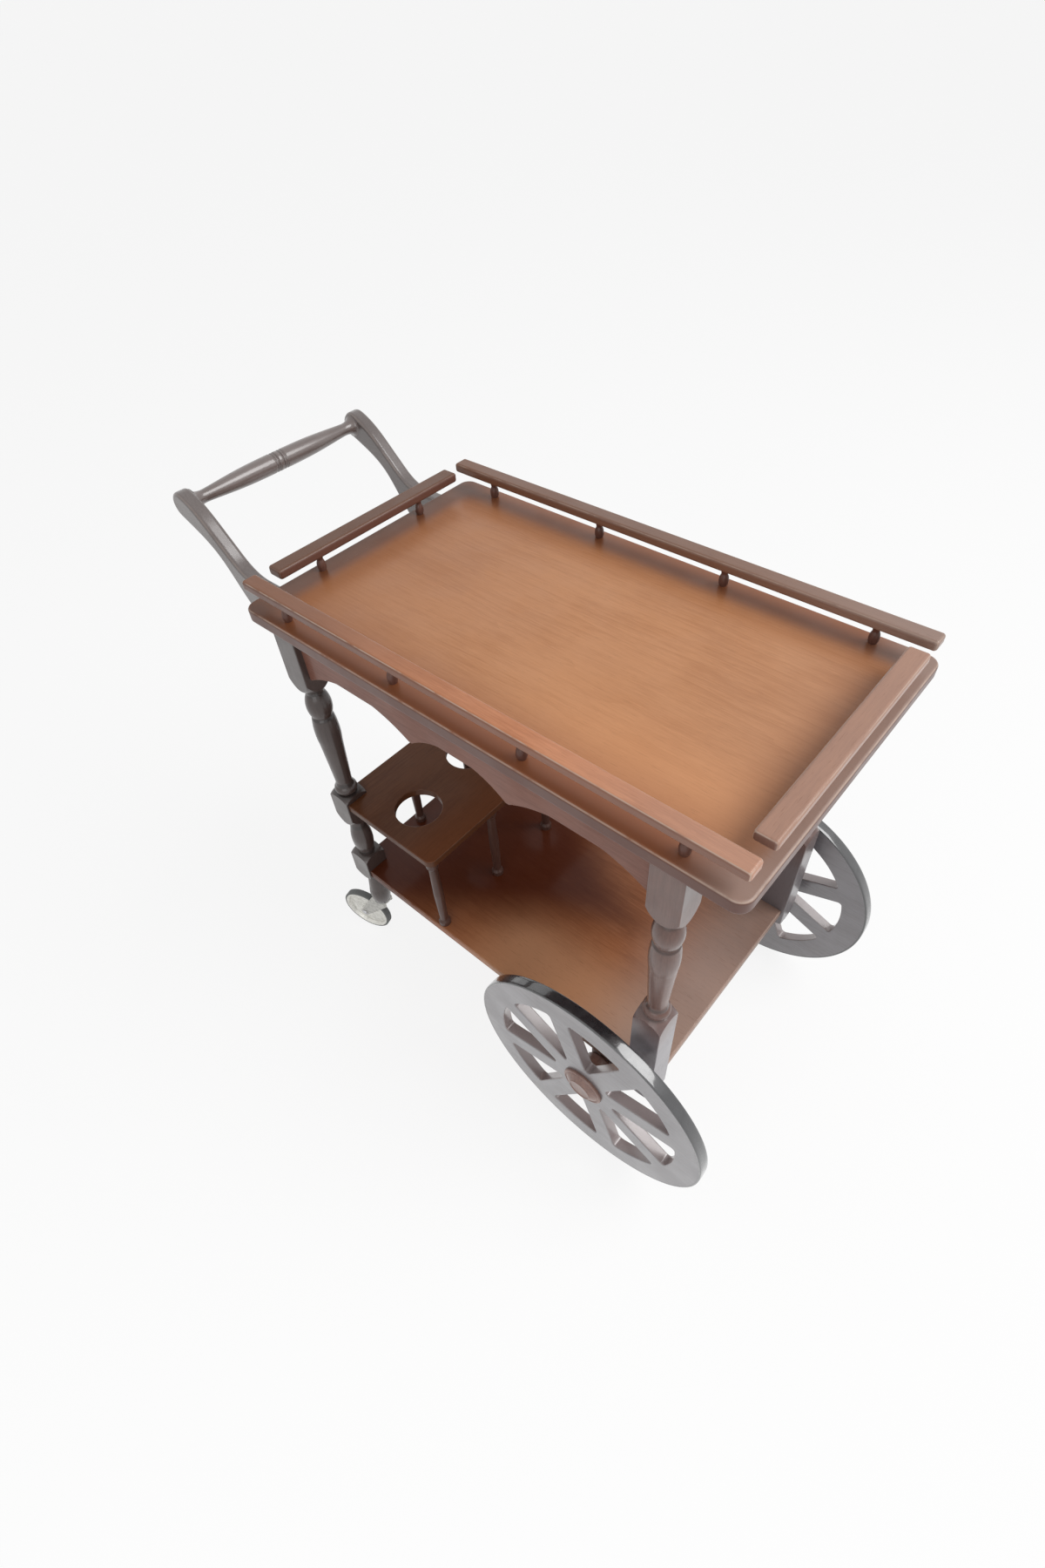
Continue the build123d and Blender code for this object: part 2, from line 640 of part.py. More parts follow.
def lower_shelf():
    """Low shelf between the legs, drilled for the posts, the dowels and the axle beam's screws."""
    shelf = plate(SHELF_HANDLE_X, SHELF_WHEEL_X, -SHELF_HALF, SHELF_HALF, SHELF_LOW, SHELF_TOP)
    shelf = fillet(shelf.edges().filter_by(Axis.Z, reverse=True), SHELF_EDGE_ROUND)
    shelf -= leg_notches(SHELF_LOW, SHELF_TOP)
    shelf -= dowel_holes(SHELF_TOP - SHELF_THICK / 2)
    mortise = rod(POST_TENON_R + WOOD_FIT, POST_TENON + WOOD_FIT)
    shelf -= [Pos(x, y, SHELF_TOP - POST_TENON - WOOD_FIT) * mortise for x, y in post_places()]
    pilot = rod(SCREW_R + WOOD_FIT, SCREW_BITE + WOOD_FIT)
    shelf -= [Pos(x, y, SHELF_LOW) * pilot for x, y in beam_screw_places()]
    x_low = BOTTLE_WHEEL_X + FIELD_MARGIN
    x_high = LEG_WHEEL_X - LEG_SIZE / 2 - FIELD_MARGIN
    return with_field(shelf, x_low, x_high, LEG_OUT_Y - LEG_SIZE / 2, SHELF_TOP)


def hole_places():
    """Plan centres of the bottle holes, the middle one set back towards the handle."""
    x = BOTTLE_WHEEL_X - HOLE_BACK
    return [(x, -HOLE_SPACING), (x - HOLE_STAGGER, 0), (x, HOLE_SPACING)]


def bottle_shelf():
    """Shelf with round bottle holes at the handle end, on the legs and its posts."""
    shelf = plate(BOTTLE_HANDLE_X, BOTTLE_WHEEL_X, -SHELF_HALF, SHELF_HALF, BOTTLE_LOW, BOTTLE_TOP)
    corners = shelf.edges().filter_by(Axis.Z).group_by(Axis.X)[-1]
    shelf = fillet(corners, BOTTLE_CORNER)
    rims = shelf.faces().sort_by(Axis.Z)[0].edges() + shelf.faces().sort_by(Axis.Z)[-1].edges()
    shelf = fillet(rims, BOTTLE_EDGE_ROUND)
    shelf -= leg_notches(BOTTLE_LOW, BOTTLE_TOP)
    shelf -= dowel_holes(BOTTLE_TOP - BOTTLE_THICK / 2)
    shelf -= [Pos(x, y, BOTTLE_LOW) * rod(HOLE_R, BOTTLE_THICK) for x, y in hole_places()]
    shelf = fillet(outer_rims(shelf, HOLE_R), HOLE_ROUND)
    mortise = rod(POST_TENON_R + WOOD_FIT, POST_TENON + WOOD_FIT)
    return shelf - [Pos(x, y, BOTTLE_LOW) * mortise for x, y in post_places()]


def post():
    """Turned post between the two shelves, with a tenon at each end."""
    low, high = SHELF_TOP, BOTTLE_LOW
    mid = (low + high) / 2
    return lathe(
        (POST_TENON_R, low - POST_TENON),
        (POST_TENON_R, low),
        (POST_FOOT_R, low),
        (POST_FOOT_R, low + POST_FOOT),
        (POST_NECK_R, low + POST_NECK),
        (POST_R, mid),
        (POST_NECK_R, high - POST_NECK),
        (POST_FOOT_R, high - POST_FOOT),
        (POST_FOOT_R, high),
        (POST_TENON_R, high),
        (POST_TENON_R, high + POST_TENON),
    )


# Push handle

def arm(side):
    """Curved arm: its foot butts the end apron under the board, is notched for the board's edge and
    sweeps out and up in an S to a round tip about the grip."""
    foot_x = HANDLE_APRON_X - APRON_THICK / 2
    edge_x = BOARD_BACK_X - REST_GAP
    top_z = BOARD_TOP - ARM_BELOW_TOP
    low_z = BOARD_BOTTOM - ARM_FOOT_DEPTH
    reach, rise = edge_x - GRIP_X, GRIP_Z - top_z
    slope = math.radians(ARM_SLOPE)
    up_arm = Vector(-math.cos(slope), math.sin(slope))
    across = Vector(math.sin(slope), math.cos(slope)) * ARM_DEPTH / 2
    waist = Vector(edge_x - ARM_WAIST_OUT * reach, top_z + ARM_WAIST_UP * rise)

    def on_tip(degrees):
        turn = math.radians(degrees)
        return Vector(GRIP_X, GRIP_Z) + Vector(math.cos(turn), math.sin(turn)) * ARM_TIP_R

    def tip_way(degrees):
        turn = math.radians(degrees)
        return Vector(-math.sin(turn), math.cos(turn))

    start = Vector(edge_x - ARM_FLAT * reach, top_z)
    under = Vector(edge_x - ARM_UNDER * reach, low_z)
    top_ways = [(-1, 0), up_arm, tip_way(ARM_TIP_TOP)]
    low_ways = [tip_way(ARM_TIP_LOW), -up_arm, (1, 0)]
    outline = [
        Line((foot_x, low_z), (foot_x, BOARD_BOTTOM)),
        Line((foot_x, BOARD_BOTTOM), (edge_x, BOARD_BOTTOM)),
        Line((edge_x, BOARD_BOTTOM), (edge_x, top_z)),
        Line((edge_x, top_z), start),
        Spline(start, waist + across, on_tip(ARM_TIP_TOP), tangents=top_ways),
        ThreePointArc(on_tip(ARM_TIP_TOP), on_tip(180), on_tip(ARM_TIP_LOW)),
        Spline(on_tip(ARM_TIP_LOW), waist - across, under, tangents=low_ways),
        Line(under, (foot_x, low_z)),
    ]
    body = extrude(Plane.XZ * make_face(outline), amount=ARM_THICK / 2, both=True)
    free = body.edges().filter_by(Axis.Y, reverse=True).filter_by(lambda e: e.bounding_box().max.X < edge_x + 1)
    body = fillet(free.filter_by(Axis.Z, reverse=True), ARM_ROUND)
    body = Pos(0, side * ARM_Y, 0) * body
    drill = along_y(rod(GRIP_TENON_R + WOOD_FIT, GRIP_TENON + WOOD_FIT), side)
    body -= Pos(GRIP_X, side * ARM_INNER, GRIP_Z) * drill
    pilot = rod(SCREW_R + WOOD_FIT, ARM_SCREW_LENGTH - APRON_THICK + WOOD_FIT)
    return body - [Pos(foot_x, side * ARM_Y, z) * (Rot(0, -90, 0) * pilot) for z in arm_screw_heights()]


def arm_screw_heights():
    """Heights of the two screws in each arm's foot."""
    return [BOARD_BOTTOM - share * ARM_FOOT_DEPTH for share in ARM_SCREW_DROPS]


def grip():
    """Turned bar between the arms: two long swellings, a ring in the middle, and at each end a bead,
    a flare against the arm and a tenon."""
    half = ARM_INNER
    flare = half - GRIP_FLARE
    collar = flare - GRIP_COLLAR
    bead = GRIP_RING / 2
    bend_out, bend_up = GRIP_FLARE_BEND
    bend = GRIP_END_R + bend_out * (GRIP_FLARE_R - GRIP_END_R), flare + bend_up * GRIP_FLARE
    belly, swell, taper = (share * half for share in GRIP_CUTS)
    half_bar = lathe(
        (GRIP_RING_CREST_R, 0),
        (GRIP_RING_R, bead),
        (GRIP_R, bead + GRIP_BEAD / 2, GRIP_RING_R, bead + GRIP_BEAD),
        (GRIP_R, belly, GRIP_SWELL_R, swell),
        (GRIP_TAPER_R, taper),
        (GRIP_NECK_R, collar),
        (GRIP_COLLAR_R, collar + GRIP_COLLAR / 2, GRIP_END_R, flare),
        (*bend, GRIP_FLARE_R, half),
        (GRIP_TENON_R, half),
        (GRIP_TENON_R, half + GRIP_TENON),
    )
    bar = half_bar + mirror(half_bar, about=Plane.XY)
    return Pos(GRIP_X, 0, GRIP_Z) * along_y(bar)


# Large wheels

def spoke_cut():
    """Outline of the gap between two spokes of even width, about +X."""
    half_turn = math.pi / SPOKES
    apex = SPOKE_WIDTH / 2 / math.sin(half_turn)
    reach = math.sqrt(RIM_INNER_R**2 - (SPOKE_WIDTH / 2) ** 2) - apex * math.cos(half_turn)
    corner = apex + reach * math.cos(half_turn), reach * math.sin(half_turn)
    mirror_corner = corner[0], -corner[1]
    gap = make_face([
        Line((apex, 0), corner),
        ThreePointArc(corner, (RIM_INNER_R, 0), mirror_corner),
        Line(mirror_corner, (apex, 0)),
    ])
    return fillet(gap.vertices(), CUT_ROUND)


def wheel_disc(side, turn):
    """Flat wooden wheel with even spokes; turn is the angle of a spoke above +X."""
    sketch = Circle(DISC_R) - Circle(HUB_CORE_R + WOOD_FIT)
    step = 360 / SPOKES
    sketch -= [Rot(0, 0, turn + (i + 0.5) * step) * spoke_cut() for i in range(SPOKES)]
    disc = extrude(Plane.XZ * sketch, amount=WHEEL_THICK / 2, both=True)
    gaps = disc.edges().filter_by(Axis.Y, reverse=True).filter_by(lambda e: e.center().length > HUB_R)
    gaps = gaps.filter_by(lambda e: e.bounding_box().max.length < DISC_R)
    disc = fillet(gaps, CUT_EDGE_ROUND)
    return Pos(AXLE_X, side * (DISC_IN + WHEEL_THICK / 2), WHEEL_R) * disc


def on_axle(solid, side, y):
    """A solid turned about Z, laid on the axle with its foot at distance y from the middle."""
    return Pos(AXLE_X, side * y, WHEEL_R) * along_y(solid, side)


def wheel_tyre(side):
    """Tread band round the wheel."""
    band = ring(WHEEL_R, DISC_R + RUN_FIT, WHEEL_THICK)
    return on_axle(chamfer(outer_rims(band, WHEEL_R), TYRE_EDGE), side, DISC_IN)


def wheel_hub(side):
    """Turned inner hub with a core that fills the wheel's middle, bored for the bush."""
    hub = lathe(
        (HUB_FOOT_R, 0),
        (HUB_NECK_R, HUB_FOOT),
        (HUB_NECK_R, HUB_COVE[0] * HUB_LENGTH, HUB_R, HUB_COVE[1] * HUB_LENGTH),
        (HUB_R, HUB_LENGTH),
        (HUB_CORE_R, HUB_LENGTH),
        (HUB_CORE_R, HUB_OUT - HUB_IN),
    )
    return on_axle(hub - rod(BUSH_R + WOOD_FIT, HUB_OUT - HUB_IN), side, HUB_IN)


def wheel_cap(side):
    """Round boss on the wheel's outer face, hollow over the axle's end."""
    bend = CAP_ROUND * (1 - math.sqrt(0.5))
    cap = lathe(
        (CAP_R, 0),
        (CAP_R, CAP_PROUD - CAP_ROUND),
        (CAP_R - bend, CAP_PROUD - bend, CAP_R - CAP_ROUND, CAP_PROUD),
    )
    return on_axle(cap - rod(CAP_HOLLOW_R, CAP_HOLLOW), side, WHEEL_FACE)


def wheel_bush(side):
    """Plain bearing in the hub."""
    return on_axle(ring(BUSH_R, AXLE_R + RUN_FIT, HUB_OUT - HUB_IN), side, HUB_IN)


def axle_beam():
    """Wooden beam under the low shelf that holds the axle, drilled for its screws."""
    x_low, x_high = AXLE_X - BEAM_WIDTH / 2, AXLE_X + BEAM_WIDTH / 2
    beam = plate(x_low, x_high, -BEAM_HALF, BEAM_HALF, SHELF_LOW - BEAM_HEIGHT, SHELF_LOW)
    beam = chamfer(beam.faces().sort_by(Axis.Z)[0].edges(), SHELF_EDGE_ROUND)
    beam -= Pos(AXLE_X, -BEAM_HALF, WHEEL_R) * along_y(rod(AXLE_R + WOOD_FIT, 2 * BEAM_HALF))
    hole = screw_hole(BEAM_HEIGHT)
    return beam - [Pos(x, y, SHELF_LOW - BEAM_HEIGHT) * hole for x, y in beam_screw_places()]


def beam_screw_places():
    """Plan places of the screws up through the axle beam, beside the axle."""
    signs = [(sx, sy) for sx in (-1, 1) for sy in (-1, 1)]
    return [(AXLE_X + sx * BEAM_SCREW_ASIDE, sy * BEAM_SCREW_OUT) for sx, sy in signs]


def nut():
    """Hexagon nut."""
    flat = RegularPolygon(NUT_FLAT / 2, 6, major_radius=False)
    return extrude(flat - Circle(AXLE_R + RUN_FIT), amount=NUT_THICK)


# Casters

def caster_place(side):
    """Caster swivel axis at floor level, turned as the cart stands."""
    return Pos(LEG_HANDLE_X, side * LEG_Y, 0) * Rot(0, 0, CASTER_TURN)


def caster_sleeve(side):
    """Flanged sleeve in the foot of the leg."""
    wide = ring(FLANGE_R, STEM_R + RUN_FIT, FLANGE_THICK)
    tube = ring(SLEEVE_R, STEM_R + RUN_FIT, SLEEVE_TOP - FOOT_BOTTOM + FLANGE_THICK)
    return caster_place(side) * Pos(0, 0, FOOT_BOTTOM - FLANGE_THICK) * (wide + tube)


def caster_fork(side):
    """Swivel fork: stem, round crown and two tapering cheeks that trail to the axle pin."""
    skirt = (CHEEK_FRONT + CHEEK_BACK, CHEEK_SKIRT)
    middle = Pos((CHEEK_FRONT - CHEEK_BACK) / 2, CROWN_TOP - CHEEK_SKIRT / 2)
    boss = Pos(-CASTER_TRAIL, CASTER_R) * Circle(CHEEK_BOSS_R)
    shape = make_hull((middle * Rectangle(*skirt)).edges() + boss.edges())
    shape -= Pos(-CASTER_TRAIL, CASTER_R) * Circle(PIN_R + RUN_FIT)
    cheek = extrude(Plane.XZ * shape, amount=CHEEK_THICK / 2, both=True)
    fork = Pos(0, 0, CROWN_TOP - CROWN_THICK) * rod(CROWN_R, CROWN_THICK)
    fork += Pos(0, 0, CROWN_TOP) * rod(STEM_R, STEM_LENGTH)
    for way in (-1, 1):
        fork += Pos(0, way * (CHEEK_GAP + CHEEK_THICK / 2), 0) * cheek
    back = -CHEEK_BACK + CHEEK_THICK, -CHEEK_GAP, CHEEK_GAP
    fork += plate(back[0], CHEEK_FRONT, back[1], back[2], CROWN_TOP - CROWN_THICK, CROWN_TOP)
    return caster_place(side) * fork


def on_caster(solid, side, reach):
    """A solid turned about Z, laid on the caster's pin with its foot at reach right of the swivel."""
    return caster_place(side) * Pos(-CASTER_TRAIL, -reach, CASTER_R) * along_y(solid)


def caster_pin(side):
    """Riveted pin through the cheeks and the wheel."""
    out = CHEEK_GAP + CHEEK_THICK
    pin = lathe(
        (PIN_HEAD_R - PIN_BEVEL, 0),
        (PIN_HEAD_R, PIN_BEVEL),
        (PIN_HEAD_R, PIN_HEAD),
        (PIN_R, PIN_HEAD),
        (PIN_R, PIN_HEAD + 2 * out),
        (PIN_HEAD_R, PIN_HEAD + 2 * out),
        (PIN_HEAD_R, 2 * PIN_HEAD + 2 * out - PIN_BEVEL),
        (PIN_HEAD_R - PIN_BEVEL, 2 * PIN_HEAD + 2 * out),
    )
    return on_caster(pin, side, out + PIN_HEAD)


def caster_wheel(side):
    """Pressed wheel: hub, thin web and rim."""
    rim_r = CASTER_R - CASTER_TYRE
    in_r = rim_r - CASTER_RIM
    foot_r = CASTER_HUB_R + CASTER_DRAFT
    middle = CASTER_HUB_WIDTH / 2
    web, rim = CASTER_WEB / 2, CASTER_WIDTH / 2
    wheel = lathe(
        (CASTER_HUB_R, 0),
        (foot_r, middle - web),
        (in_r, middle - web),
        (in_r + CASTER_DRAFT, middle - rim),
        (rim_r, middle - rim),
        (rim_r, middle + rim),
        (in_r + CASTER_DRAFT, middle + rim),
        (in_r, middle + web),
        (foot_r, middle + web),
        (CASTER_HUB_R, CASTER_HUB_WIDTH),
    )
    return on_caster(wheel - rod(PIN_R + RUN_FIT, CASTER_HUB_WIDTH), side, middle)


def caster_tyre(side):
    """Rubber tyre on the caster wheel."""
    band = ring(CASTER_R, CASTER_R - CASTER_TYRE + RUN_FIT, CASTER_WIDTH)
    band = chamfer(outer_rims(band, CASTER_R), CASTER_TYRE_EDGE)
    return on_caster(band, side, CASTER_WIDTH / 2)


def main():
    os.makedirs("parts", exist_ok=True)
    places = spindle_places()
    save("top_board", top_board(places))
    save("side_rail_left", rail(RAIL_LENGTH, RAIL_WIDTH, 0, RAIL_Y, places["left"]))
    save("side_rail_right", rail(RAIL_LENGTH, RAIL_WIDTH, 0, -RAIL_Y, places["right"]))
    end = END_RAIL_WIDTH, END_RAIL_LENGTH
    save("end_rail_handle", rail(*end, -END_RAIL_X, 0, places["handle_end"]))
    save("end_rail_wheel", rail(*end, END_RAIL_X, 0, places["wheel_end"]))
    for name, spots in places.items():
        save(f"spindles_{name}", *[Pos(x, y, BOARD_TOP) * spindle() for x, y in spots])

    for end_name, handle_end in (("handle", True), ("wheel", False)):
        for side_name, side in (("left", 1), ("right", -1)):
            save(f"leg_{end_name}_{side_name}", leg(handle_end, side))
    ends = [(handle_end, side) for handle_end in (True, False) for side in (-1, 1)]
    save("apron_left", side_apron(1))
    save("apron_right", side_apron(-1))
    handle_apron = end_apron(HANDLE_APRON_X)
    foot_x = HANDLE_APRON_X + APRON_THICK / 2
    arm_screws = []
    for side in (-1, 1):
        for z in arm_screw_heights():
            place = Pos(foot_x, side * ARM_Y, z) * Rot(0, -90, 0)
            handle_apron -= place * screw_hole(APRON_THICK)
            arm_screws.append(place * screw(ARM_SCREW_LENGTH))
    save("apron_handle_end", handle_apron)
    save("apron_wheel_end", end_apron(WHEEL_APRON_X))
    save("corner_blocks", *[corner_block(*corner) for corner in ends])
    under_block = BOARD_BOTTOM - CORNER_BLOCK_HEIGHT
    board_screw = screw(CORNER_BLOCK_HEIGHT + SCREW_BITE)
    save("board_screws", *[Pos(x, y, under_block) * board_screw for x, y in corner_screw_places()])

    save("lower_shelf", lower_shelf())
    save("bottle_shelf", bottle_shelf())
    save("bottle_shelf_posts", *[Pos(x, y, 0) * post() for x, y in post_places()])
    peg = Pos(0, 0, -DOWEL_LENGTH / 2) * rod(DOWEL_R, DOWEL_LENGTH)
    save("shelf_dowels", *[Pos(x, s * LEG_Y, z) * (Rot(0, 90, 0) * peg) for x, s, z in dowel_places()])

    save("handle_arm_left", arm(1))
    save("handle_arm_right", arm(-1))
    save("handle_grip", grip())
    save("arm_screws", *arm_screws)

    save("axle_beam", axle_beam())
    beam_screw = screw(BEAM_HEIGHT + SCREW_BITE)
    under_beam = SHELF_LOW - BEAM_HEIGHT
    save("beam_screws", *[Pos(x, y, under_beam) * beam_screw for x, y in beam_screw_places()])
    save("wheel_axle", on_axle(rod(AXLE_R, 2 * AXLE_HALF), 1, -AXLE_HALF))
    washer = ring(WASHER_R, AXLE_R + RUN_FIT, WASHER_THICK)
    washer_feet = [(side, y) for side in (-1, 1) for y in (BEAM_HALF, HUB_OUT + REST_GAP)]
    save("axle_washers", *[on_axle(washer, side, y) for side, y in washer_feet])
    save("axle_nuts", *[on_axle(nut(), side, NUT_IN) for side in (-1, 1)])

    for name, side, turn in (("left", 1, SPOKE_TURN_LEFT), ("right", -1, SPOKE_TURN_RIGHT)):
        save(f"wheel_disc_{name}", wheel_disc(side, turn))
        save(f"wheel_tyre_{name}", wheel_tyre(side))
        save(f"wheel_hub_{name}", wheel_hub(side))
        save(f"wheel_cap_{name}", wheel_cap(side))
        save(f"wheel_bush_{name}", wheel_bush(side))
        save(f"caster_sleeve_{name}", caster_sleeve(side))
        save(f"caster_fork_{name}", caster_fork(side))
        save(f"caster_pin_{name}", caster_pin(side))
        save(f"caster_wheel_{name}", caster_wheel(side))
        save(f"caster_tyre_{name}", caster_tyre(side))


main()
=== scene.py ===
"""Finish of a wooden serving cart: lacquers, turned bosses, treads, pressed caster wheels and a studio."""
import json
import math

import bpy
import numpy as np
from bpy.props import FloatProperty, FloatVectorProperty, IntProperty, PointerProperty
from mathutils import Matrix, Vector


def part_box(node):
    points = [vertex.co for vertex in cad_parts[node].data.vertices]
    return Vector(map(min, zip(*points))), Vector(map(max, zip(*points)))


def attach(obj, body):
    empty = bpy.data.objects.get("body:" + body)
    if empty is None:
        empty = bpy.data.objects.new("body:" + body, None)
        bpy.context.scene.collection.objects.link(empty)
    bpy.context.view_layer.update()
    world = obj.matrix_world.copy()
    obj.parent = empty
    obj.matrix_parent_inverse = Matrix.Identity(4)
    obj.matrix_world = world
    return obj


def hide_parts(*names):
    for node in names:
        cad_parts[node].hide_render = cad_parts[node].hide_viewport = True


bl_info = {
    "name": "Serving Cart Finish",
    "version": (1, 0, 0),
    "blender": (4, 5, 0),
    "location": "3D View > Sidebar > Cart",
    "description": "Lacquers, turned bosses, treads, caster wheels and a studio for a wooden serving cart",
    "category": "Object",
}

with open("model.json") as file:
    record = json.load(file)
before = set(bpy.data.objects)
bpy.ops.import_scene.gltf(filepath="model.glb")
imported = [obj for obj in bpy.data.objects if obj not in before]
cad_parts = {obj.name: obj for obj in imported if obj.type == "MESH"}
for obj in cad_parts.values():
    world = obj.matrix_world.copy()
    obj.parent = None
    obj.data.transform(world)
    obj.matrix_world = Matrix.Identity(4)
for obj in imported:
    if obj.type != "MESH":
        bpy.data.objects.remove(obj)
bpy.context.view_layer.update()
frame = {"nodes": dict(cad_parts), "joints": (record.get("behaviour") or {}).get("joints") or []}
NODES = frame["nodes"]
SIDES = (("left", 1.0), ("right", -1.0))
# All lengths are in metres
# Heights and half widths of the turned grooves of the legs
UPPER_GROOVES = (0.4575, 0.004), (0.4785, 0.007), (0.6320, 0.005), (0.6830, 0.008)
LOWER_GROOVES = (0.2930, 0.006), (0.3660, 0.010)
# Each gallery rail: its grain, how light it is made (lighter on the near rail and darker on the far and
# handle-end rails, as painted light and shade), how faded, how worn its arrises are (wear, and partly a
# painted highlight), its coat, where the painted shade towards the push handle starts and how deep it gets,
# and which side gets painted shade and how much
RAILS = {
    "side_rail_right": dict(
        grain="X", depth=1.75, fade=0.0, wear=0.7, coat=0.45, start=0.22, handle_shade=0.85,
        side=(0, -1, 0), dark=0.7),
    "side_rail_left": dict(
        grain="X", depth=0.7, fade=0.4, wear=0.35, coat=0.45, start=0.05, handle_shade=0.55,
        side=(0, -1, 0), dark=0.0),
    "end_rail_wheel": dict(
        grain="Y", depth=1.1, fade=0.0, wear=0.6, coat=0.45, start=0.05, handle_shade=0.55,
        side=(0, -1, 0), dark=0.7),
    "end_rail_handle": dict(
        grain="Y", depth=0.38, fade=0.55, wear=0.1, coat=0.3, start=0.05, handle_shade=0.55,
        side=(1, 0, 0), dark=0.85),
}
# Where the painted shade towards the push handle is deepest
HANDLE_SHADE_END = -0.28
# How far the outline of the painted shade along the rails and of the dark margin on the top rounds the
# board's corners
CORNER_SOFTNESS = 0.05
# Width of one ring of a wave texture of scale 1, and the ring's width at which its detail has scale 1
WAVE_WIDTH, DETAIL_WIDTH = 0.314, 0.012
# Scales of the wood's rings, streaks, fibres, flecks and pores, along the grain and across it
RING_SCALE, STREAK_SCALE, FIBRE_SCALE = (0.13, 1.0), (3.5, 40.0), (22.0, 360.0)
FLECK_SCALE, PORE_SCALE = (34.0, 420.0), (46.0, 900.0)
# Where the flecks are drawn from, so that they don't follow the fibres
FLECK_SHIFT = 3, 5, 7
# Scales of the wood's clouds, rubbed patches and smears
CLOUD_SCALE, PATCH_SCALE, SMEAR_SCALE = 7.0, 38.0, 16.0
# Shares of the late wood, streaks, fibres and clouds in the wood's tone
LATE_SHARE, STREAK_SHARE, FIBRE_SHARE, CLOUD_SHARE = -0.3, 0.22, 0.36, 0.42
# Range of the tone without rings, and how far full rings lower it
TONE_LOW, TONE_HIGH, TONE_DROP = 0.36, 0.62, 0.09
# Strength and distance of each relief
WOOD_RELIEF, METAL_RELIEF, RUBBER_RELIEF = (0.05, 0.0003), (0.08, 0.0002), (0.05, 0.0001)
# Wheel boss: radius and depth of its hollow, width and rise of its rim, widths of its groove and of its bead
BOSS_HOLLOW, BOSS_DEPTH = 0.015, 0.0065
BOSS_RIM, BOSS_RISE = 0.0030, 0.0024
BOSS_GROOVE, BOSS_BEAD = 0.0028, 0.0032
# Wall's share of the boss's height, shoulder's share of its radius, and the dish's depth in bead heights
BOSS_WALL, BOSS_SHOULDER, BOSS_DISH = 0.22, 0.58, 0.5
# Grip: half length of its ringed middle, length of its flares, radius of its tenons and of their tips
GRIP_MIDDLE, GRIP_RUN, GRIP_TENON, GRIP_TIP = 0.014, 0.020, 0.006, 0.001
# Power of the place along the grip that shapes its swell
GRIP_SWELL = 1.6
# Depth, place and half width of the grooves beside the grip's middle ring
GRIP_GROOVES = (0.0021, 0.0046, 0.0012), (0.0018, 0.0095, 0.0014)
# Tread band: its thickness, how far below the crown its sides end, and how much its edges are drawn in
TREAD_THICK, TREAD_SIDE, TREAD_DRAW = 0.00345, 0.0019, 0.03
# One side of a caster wheel as radius and height: its hub, and its rolled lip. The flat web joins the two
CASTER_HUB = (0.00405, 0.0085), (0.0088, 0.0085), (0.0098, 0.0079), (0.0122, 0.0022)
CASTER_LIP = (0.0425, 0.0022), (0.0444, 0.0062), (0.0455, 0.0070), (0.0500, 0.0070)
# Radii between which the web is pressed, and the width over which the pressing rises
PRESS_INNER, PRESS_OUTER, PRESS_RISE = 0.0150, 0.0405, 0.006
# Width of the camera's frame in millimetres, and its near and far clipping distances
SENSOR, CLIP = 36.0, (0.02, 400.0)


# Property helpers

def colour(name, description, default):
    """A colour property in linear light."""
    return FloatVectorProperty(
        name=name, description=description, subtype="COLOR", size=3, min=0, max=1, default=default)


def length(name, description, default):
    """A length property in metres."""
    return FloatProperty(
        name=name, description=description, subtype="DISTANCE", unit="LENGTH", default=default)


def point(name, description, default):
    """A place property in metres."""
    return FloatVectorProperty(
        name=name, description=description, subtype="TRANSLATION", unit="LENGTH", default=default)


def angle(name, description, degrees):
    """An angle property."""
    return FloatProperty(name=name, description=description, subtype="ANGLE", default=math.radians(degrees))


def power(name, description, default):
    """A property for a lamp's power in watts."""
    return FloatProperty(name=name, description=description, unit="POWER", default=default, min=0)


def count(name, description, default, low, high):
    """A whole number property."""
    return IntProperty(name=name, description=description, default=default, min=low, max=high)


